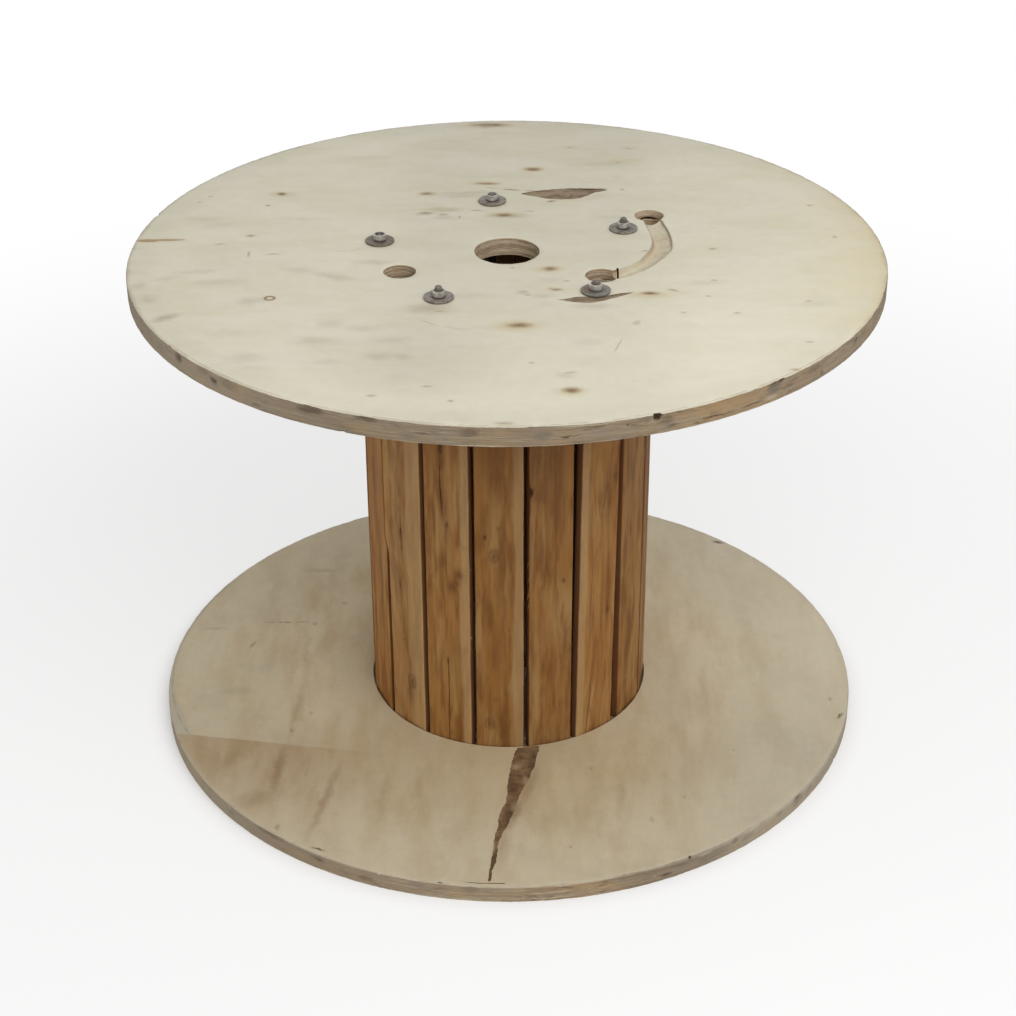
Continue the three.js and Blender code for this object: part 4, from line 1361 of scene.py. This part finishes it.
def ply_edge():
    net = painted("ply_edge")
    along, ply, ends = net.split(net.attribute("edgeco", "Vector"))
    here = net.place()
    x, y, z = net.split(here)

    def cloud(wide, tall, detail=4, roughness=0.6):
        """Noise whose patches are about that many millimetres wide and tall."""
        return net.cloud(here, (wide, wide, tall), detail, roughness)

    layer = net.math("FLOOR", ply + (cloud(60, 9, 2) - 0.5) * 0.22)
    share = net.math("FRACT", ply)
    pick = net.noise(net.join(layer * 7.13 + z * 0.01, x / 700, y / 700), 1)
    fibre = cloud(14, 1.1, 3)
    speckle = cloud(0.9, 0.8, 2)
    patchy = cloud(22, 7)
    joint = abs(share - 0.5) * 2.0
    line = net.ease(joint, 0.84, 1.0) * net.ease(cloud(34, 2.5, 3), 0.42, 0.6)
    # The holes' walls are paler and cleaner, tan with brown plies
    net.base(net.ease(pick, 0.4, 0.56), (193, 176, 150), (162, 141, 114))
    net.paint(net.ease(fibre, 0.5, 0.66) * 0.7, 126, 103, 78)
    net.paint(net.ease(patchy, 0.52, 0.7) * 0.5, 146, 120, 90)
    net.paint(line * 0.8, 90, 71, 52)
    net.paint(net.ease(ply, 0.1, 0.6, 1, 0) * 0.5, 204, 192, 166)
    wall = net.colour
    # The rims
    net.base(net.ease(pick, 0.35, 0.65), (158, 140, 115), (145, 123, 96))
    net.paint(net.ease(cloud(110, 60, 3), 0.48, 0.62) * 0.5, 165, 138, 102)
    net.paint(net.ease(cloud(52, 15), 0.5, 0.68) * 0.6, 136, 128, 116)
    net.paint(net.ease(cloud(34, 11), 0.54, 0.7) * 0.65, 100, 86, 70)
    net.paint(net.ease(patchy, 0.56, 0.72) * 0.4, 172, 158, 132)
    net.paint(net.ease(x, 60, -160, 0, 0.5), 147, 134, 115)
    # Lines between plies, clearest at the front of the upper rim
    clear = 0.35 + net.ease(abs(x), 130, 230, 0.65, 0) * net.ease(y, -380, -420)
    net.paint(line * clear * 0.6, 92, 76, 60)
    net.paint(net.ease(cloud(60, 1.7, 3), 0.56, 0.68) * clear * 0.6, 190, 175, 148)
    # The upper rim has a dark upper edge, both have a pale lower one
    lip = net.ease(ply, 8.2, 8.6) * net.ease(cloud(50, 900, 3), 0.42, 0.54)
    net.paint(lip * 0.45, 196, 182, 154)
    upper = net.ease(z, 200, 500)
    lower = 1 - upper
    shade = net.ease(ply, 0.1, 1.0, 1, 0) * net.ease(cloud(30, 900, 3), 0.38, 0.56)
    net.paint(shade * upper * 0.6, 104, 90, 74)
    net.paint(net.ease(x, -220, -60) * net.ease(x, 130, 240, 1, 0) * upper * 0.32, 134, 123, 106)
    # The lower rim has a worn pale upper edge, widest at the right
    wide = net.ease(x, 120, 360, 0.9, 3.6)
    worn = net.ease(ply / wide, 0.35, 1.0, 1, 0) * net.ease(cloud(40, 900, 3), 0.3, 0.5, 0.35, 1.0)
    net.paint(worn * lower * 0.65, 186, 178, 158)
    net.paint(net.ease(x, 100, 330) * lower * 0.45, 164, 156, 140)
    plane = net.warped(net.join(along, ply * ((TOP - TOP_UNDER) / PLIES)), 9, 2.4)
    for marks, screen in ((RIM_TAN, (172, 142, 103)), (RIM_GREY, (118, 110, 98)),
                          (RIM_DARK, (74, 60, 47)), (RIM_PALE, (198, 186, 160))):
        net.paint(net.spots(plane, 0.35, 1.1, marks), *screen)
    # Both are paler and greyer at their sides, and the lower one is duller at the front right
    net.paint((net.ease(x, -190, -470) + net.ease(x, 340, 420)) * 0.3, 160, 150, 134)
    net.tone(net.ease(z, 100, 600, 1.12, 0.93))
    net.tone(1 + net.ease(x, -180, -420) * upper * 0.34 + net.ease(x, -300, -480) * lower * 0.22)
    net.tone(1 - net.ease(abs(x - 225.0), 30, 120, 1, 0) * lower * 0.25)
    net.colour = net.mix(net.attribute("fresh"), net.colour, wall)
    net.tone(0.88 + fibre * 0.14 + speckle * 0.1 * ends + speckle * 0.05)
    # Painted shade in recesses: where the edge lies back, and down the walls of holes, recesses and
    # the channel
    net.paint(net.ease(net.attribute("pit"), 0.15, 0.9), 58, 44, 32)
    return net.finish(0.78, 0.15, fibre * 0.6 + speckle * 0.5 + line * -0.8, 0.3)


def groove_wood():
    net = painted("groove_wood")
    x, y, z = net.split(net.place())
    lines = net.noise(net.join(x / 14, y / 14, z / 0.9))
    cloud = net.noise(net.join(x / 26, y / 16, 0.0), 4)
    chatter = net.noise(net.join(x / 2, y / 6, z / 4), roughness=0.65)
    net.base(net.ease(cloud, 0.42, 0.7), (208, 200, 176), (198, 183, 156))
    net.paint(net.ease(lines, 0.52, 0.72) * 0.4, 170, 148, 116)
    inner = net.length(net.vector("SUBTRACT", net.join(x, y), (118.0, 30.0, 0)))
    net.paint(net.ease(inner, 84, 98, 1, 0) * 0.6, 190, 166, 132)
    # Brown plies show where the groove runs out into the cable return
    end = net.ease(x + y * 0.1, 140.5, 144.5, 1, 0)
    plies = net.mix(net.ease(lines, 0.42, 0.62), rgb(186, 164, 132), rgb(136, 108, 78))
    net.colour = net.mix(end, net.colour, plies)
    # Painted shade along the groove's edges
    net.paint(net.ease(net.attribute("crease"), 0.1, 0.9) * 0.75, *GROOVE_SHADE_COLOUR)
    net.tone(0.92 + chatter * 0.14 + net.ease(y, -50, 40, -0.06, 0.04))
    return net.finish(0.7, 0.2, chatter + lines * 0.5, 0.3)


def core_veneer():
    net = painted("core_veneer")
    x, y, z = net.split(net.place())
    flat = net.join(x, y)
    grain = net.cloud(flat, (3, 26))
    upper = net.ease(z, 200, 500)
    pale = net.mix(upper, rgb(140, 112, 82), rgb(158, 142, 120))
    brown = net.mix(upper, rgb(102, 78, 53), rgb(122, 103, 81))
    fibre = net.mix(upper, rgb(84, 62, 44), rgb(118, 98, 76))
    net.colour = net.mix(net.ease(net.cloud(flat, (22, 16), 5, 0.65), 0.36, 0.66), pale, brown)
    net.colour = net.mix(net.ease(grain, 0.5, 0.75) * 0.35, net.colour, fibre)
    net.paint(net.ease(x, 80, 150) * net.ease(y, 150, 190) * 0.6, 126, 104, 80)
    soft = net.warped(flat, 10, 4)
    net.paint(net.spots(soft, 0.2, 1.15, [
        (131, 198, 24, 6, 0.7, 35), (122, 230, 30, 3, 0.9), (90, 190, 34, 3, 0.5),
        (96, 204, 3, 10, 0.4, -20), (-22, -470, 10, 60, 0.7, 3), (4, -300, 10, 44, 0.5, 4),
        (0, -375, 12, 30, 0.7), (2, -396, 8, 8, 0.8), (34, -262, 6, 40, 0.45, 8),
        (36, -236, 8, 10, 0.6), (140, -150, 22, 4, 0.4, 28), (90, -156, 30, 3, 0.25)]), 76, 58, 42)
    net.paint(net.spots(soft, 0.2, 1.15, [
        (40, 208, 26, 8, 0.6, 25), (80, 214, 40, 8, 0.4), (10, -256, 11, 9, 0.5),
        (24, -292, 5, 20, 0.5, 10), (-23, -436, 5, 24, 0.6, 3), (8, -352, 7, 18, 0.45),
        (104, -168, 22, 5, 0.4)]), 172, 152, 124)
    # Darker away from the front, towards the barrel: painted shade under the upper flange
    net.tone(net.ease(y, -330, -260, 0.96, 0.91))
    return net.finish(0.75, 0.15, grain, 0.3)


def painted_void_shade():
    net = painted("painted_void_shade")
    # Near-black wood in the deep cracks and slits: painted shade
    net.base(net.cloud(net.place(), (12, 12, 4), 2), (30, 20, 12), (52, 36, 24))
    return net.finish(0.9, 0.05)


def stave_wood():
    net = painted("stave_wood")
    u, depth, z = net.split(net.attribute("board", "Vector"))
    number = net.math("FLOOR", z / BOARD_STEP)

    def noise(across, along, seed, detail=3, roughness=0.5):
        """Noise whose patches are about that many millimetres across and along a board."""
        return net.noise(net.join(u / across, z / along, seed), detail, roughness)

    pick = net.noise(net.join(number * 5.31, 0.7), 0)
    # Growth rings: a slow ramp through each ring and a darker edge, strong only in places
    turns = net.attribute("growth") * 0.6 + (noise(12, 60, number) - 0.5) * 1.8
    ring = net.math("FRACT", turns)
    which = net.noise(net.join(net.math("FLOOR", turns) * 3.3, z / 160, number * 1.7), 1)
    late = net.ease(ring, 0.2, 0.85) * net.ease(ring, 0.88, 1.0, 1, 0)
    strip = noise(10, 260, number * 9.0, 2, 0.55)
    streak = noise(2.4, 90, number * 4.0, 3, 0.6)
    fine = noise(0.8, 30, number * 6.0, 2, 0.6)
    net.base(net.ease(pick, 0.35, 0.65), (158, 115, 63), (148, 102, 51))
    net.paint(net.ease(noise(40, 200, number * 3.0), 0.46, 0.64) * 0.65, 167, 130, 80)
    net.paint(net.ease(noise(16, 100, number * 2.0, 4, 0.52), 0.45, 0.66) * 0.7, 113, 69, 28)
    net.paint(net.ease(strip, 0.54, 0.68) * 0.4, 110, 70, 32)
    net.paint(net.ease(strip, 0.32, 0.46, 1, 0) * 0.3, 164, 132, 88)
    net.paint(late * (0.04 + net.ease(which, 0.44, 0.62) * 0.3), 108, 66, 30)
    net.paint(net.ease(streak, 0.56, 0.76) * 0.3, 106, 68, 34)
    # Pale sapwood, dirt, painted shade at the upper end under the top flange, specks, smears and
    # knots, then the sides, darkened with painted shade, and the inner face
    pale = net.ease(net.attribute("sap") + (noise(6, 60, number * 7.0) - 0.5) * 1.3, 0.1, 1.1)
    net.paint(pale * 0.55, 172, 142, 101)
    net.paint(net.ease(noise(12, 34, number * 8.0, 5, 0.68), 0.54, 0.76) * 0.28, 104, 70, 38)
    net.paint(net.attribute("deeper"), 110, 67, 29)
    net.tone((0.87 + streak * 0.12 + fine * 0.12) * net.attribute("tone"))
    some = net.ease(noise(20, 40, number * 2.0 + 5.0, 1), 0.6, 0.68)
    net.paint(net.dots(net.join(u / 16, z / 36, number), 0.05, 0.12) * some * 0.6, 80, 46, 22)
    smudge = noise(5, 18, number * 3.0, 3, 0.55)
    net.paint(net.attribute("smear") * net.ease(smudge, 0.2, 0.7, 0.4, 1.1), 96, 58, 26)
    net.paint(net.ease(net.attribute("stain") + (smudge - 0.5) * 0.3, 0.05, 0.8) * 0.9, 64, 36, 16)
    # The boards' sides and worn corners are darker brown: painted shade in the gaps between boards
    net.paint(net.ease(depth, 1.2, 2.6) * 0.85, 100, 60, 37)
    net.paint(net.ease(depth, 13.5, 14.2), 168, 126, 84)
    return net.finish(0.5 + streak * 0.25, 0.22, streak * 0.5 + fine * 0.5 + late * 0.3, 0.35)


def zinc_metal():
    net = painted("zinc_plate")
    here = net.place()
    x, y, z = net.split(here)
    plan = net.join(x, y)
    cloud = net.cloud(here, (7, 7, 7), 4, 0.6)
    fine = net.cloud(here, (1.2, 1.2, 1.2))
    net.base(net.ease(cloud, 0.4, 0.7), (192, 190, 186), (146, 142, 138))
    net.paint(net.ease(net.cloud(here, (3, 3, 3)), 0.56, 0.72) * 0.6, 124, 102, 80)
    # Darker towards the top nuts' feet, and all over the bottom nuts: painted shade where they sit
    net.paint(net.ease(z, TOP + 3.0, TOP + 7.0, 1, 0) * 0.75, 88, 70, 58)
    # A dark ring round each stud on the nuts' faces: painted shade at the stud's foot
    net.paint(net.spots(plan, 0.82, 1.04, [(*rod, 7.4, 7.4, 0.85) for rod in RODS]), 84, 70, 58)
    return net.finish(0.36 + fine * 0.2, 0.5, cloud * 0.5 + fine * 0.5, 0.12, metallic=0.8)


def washer_metal():
    net = painted("washer_metal")
    here = net.place()
    x, y, _ = net.split(here)
    plan = net.join(x, y)
    cloud = net.cloud(here, (9, 9, 9), 5, 0.65)
    spot = net.cloud(here, (2.6, 2.6, 2.6), 4, 0.65)
    net.base(net.ease(cloud, 0.4, 0.68), (142, 136, 128), (110, 100, 91))
    net.paint(net.ease(spot + (cloud - 0.5) * 0.6, 0.5, 0.7) * 0.45, 98, 77, 62)
    # Darker round the nuts: dirt, and painted shade at their feet; the left washer is browner than
    # the rest, the right one greener
    net.paint(net.spots(plan, 0.6, 1.1, [(*rod, 13.5, 13.5, 0.45) for rod in RODS]), 78, 64, 53)
    left, (right_x, right_y) = RODS[2], RODS[4]
    net.paint(net.spots(plan, 0.95, 1.1, [(*left, 24, 24, 0.5)]), 98, 82, 66)
    net.paint(net.spots(plan, 0.95, 1.1, [(right_x, right_y, 24, 24, 0.4)]), 116, 119, 110)
    net.paint(net.spots(plan, 0.3, 1.1, [(right_x - 11, right_y, 10, 14, 0.6)]), 104, 64, 48)
    bump = cloud * 0.5 + spot * 0.4 + net.cloud(here, (0.8, 0.8, 0.8), 2) * 0.2
    return net.finish(0.42 + spot * 0.3, 0.4, bump, 0.35, metallic=0.6)


def rod_metal():
    net = painted("rod_metal")
    here = net.place()
    _, _, z = net.split(here)
    cloud = net.cloud(here, (3, 3, 3), 4, 0.6)
    net.base(net.ease(cloud, 0.4, 0.66), (130, 121, 111), (92, 82, 72))
    # Darker everywhere below the top nuts' upper part: painted shade down in the nuts' bores
    net.paint(net.ease(z, TOP + 7.0, TOP + 11.5, 1, 0) * 0.7, 62, 52, 44)
    return net.finish(0.45 + cloud * 0.3, 0.4, cloud, 0.1, metallic=0.6)


# ---------------------------------------------------------------- the pieces


def stand(piece, node):
    """Puts a piece in its CAD node's place: hangs it under the root body and hides the node."""
    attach(piece, "root")
    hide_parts(node)


wood = stave_wood()
nut_zinc, washer_zinc, rod_steel = zinc_metal(), washer_metal(), rod_metal()
under, edge, groove = veneer_under(), ply_edge(), groove_wood()
core, void = core_veneer(), painted_void_shade()
# One material for each of FACE, EDGE, UNDER, CORE, GROOVE and VOID
top_slots = [veneer_top(), edge, under, core, groove, void]
bottom_slots = [veneer_low(), *top_slots[1:]]

stand(top_flange(top_slots), "top_flange")
stand(bottom_flange(bottom_slots), "bottom_flange")
for number in range(1, STAVES + 1):
    stand(stave(number, [wood]), f"stave_{number:02d}")
for number in ROD_NUMBERS:
    stand(rod(number, [rod_steel]), f"tie_rod_{number}")
    for end, turn in (("top", number * NUT_TURN), ("bottom", 0)):
        node = f"{end}_nut_{number}"
        hexagon = nut(node, f"{end}_nut_hex_{number}", [nut_zinc], turn=turn, seed=number)
        stand(hexagon, node)
        node = f"{end}_washer_{number}"
        disc = washer(node, f"{end}_washer_disc_{number}", [washer_zinc], seed=40 * number)
        stand(disc, node)


# ---------------------------------------------------------------- floor, lamp and camera

WHITE = (1.0, 1.0, 1.0, 1.0)
# Half the floor's side, in metres
FLOOR_HALF = 30.0
# The camera as fitted to the photograph: lens and sensor in millimetres, place in metres
LENS, SENSOR = 75.45, 36.0
CAMERA_PLACE = (0.0, -2.7448, 1.9098)
CAMERA_TILT, CAMERA_ROLL = math.radians(59.78), -0.0042


def make_floor():
    """A pale floor: it takes the drum's shadow, and shows as plain white further out."""
    mesh = bpy.data.meshes.new("floor")
    corners = [(x * FLOOR_HALF, y * FLOOR_HALF, 0) for x, y in ((-1, -1), (1, -1), (1, 1), (-1, 1))]
    mesh.from_pydata(corners, [], [range(4)])
    net = painted("floor_white")
    _, _, flat = net.plan()
    away = net.length(flat)
    # How much of the lit floor shows: all of it under the drum, a third outside, none further out
    share = net.ease(away, 500, 560, 1.0, 0.34) * net.ease(away, 800, 2200, 1.0, 0.0)
    seen, plain_white = (net.node("ShaderNodeBsdfDiffuse", {"Color": (pale, pale, pale, 1.0)})
                         for pale in (0.95, 0.75))
    glow = net.node("ShaderNodeEmission", {"Color": WHITE, "Strength": 1.0})
    mixed = net.node("ShaderNodeMixShader", {0: share, 1: glow, 2: seen})
    camera_ray = net.node("ShaderNodeLightPath", {}, "Is Camera Ray")
    net.show("Material", net.node("ShaderNodeMixShader", {0: camera_ray, 1: plain_white, 2: mixed}))
    mesh.materials.append(net.owner)
    return linked("floor", mesh)


def make_world():
    """A white room: plain white where it is seen or mirrored, dimmer as a light."""
    world = bpy.data.worlds.new("pale_room")
    bpy.context.scene.world = world
    net = Net(world)
    camera_ray, glossy_ray, clear_ray = (net.node("ShaderNodeLightPath", {}, f"Is {kind} Ray")
                                         for kind in ("Camera", "Glossy", "Transmission"))
    seen = net.most(camera_ray, glossy_ray, clear_ray)
    room, backdrop = (net.node("ShaderNodeBackground", {"Color": WHITE, "Strength": strength})
                      for strength in (0.52, 1.0))
    net.show("World", net.node("ShaderNodeMixShader", {0: seen, 1: room, 2: backdrop}))


def make_lamp(name, place, aim, size, watts):
    """A square lamp, its place and size in metres."""
    data = bpy.data.lights.new(name, "AREA")
    data.size, data.energy = size, watts
    lamp = linked(name, data)
    lamp.location = place
    lamp.rotation_euler = (Vector(aim) - Vector(place)).to_track_quat("-Z", "Y").to_euler()


def make_camera():
    data = bpy.data.cameras.new("camera")
    data.lens, data.sensor_width, data.sensor_fit = LENS, SENSOR, "HORIZONTAL"
    data.clip_end = 100.0
    camera = linked("camera", data)
    turned_by = Matrix.Rotation(CAMERA_TILT, 4, "X") @ Matrix.Rotation(CAMERA_ROLL, 4, "Z")
    camera.matrix_world = Matrix.Translation(CAMERA_PLACE) @ turned_by
    bpy.context.scene.camera = camera


make_floor()
make_world()
make_lamp("key", place=(0.9, -2.3, 2.7), aim=(0.0, 0.0, 0.5), size=2.5, watts=68.0)
make_camera()
bpy.context.scene.view_settings.view_transform = "Standard"
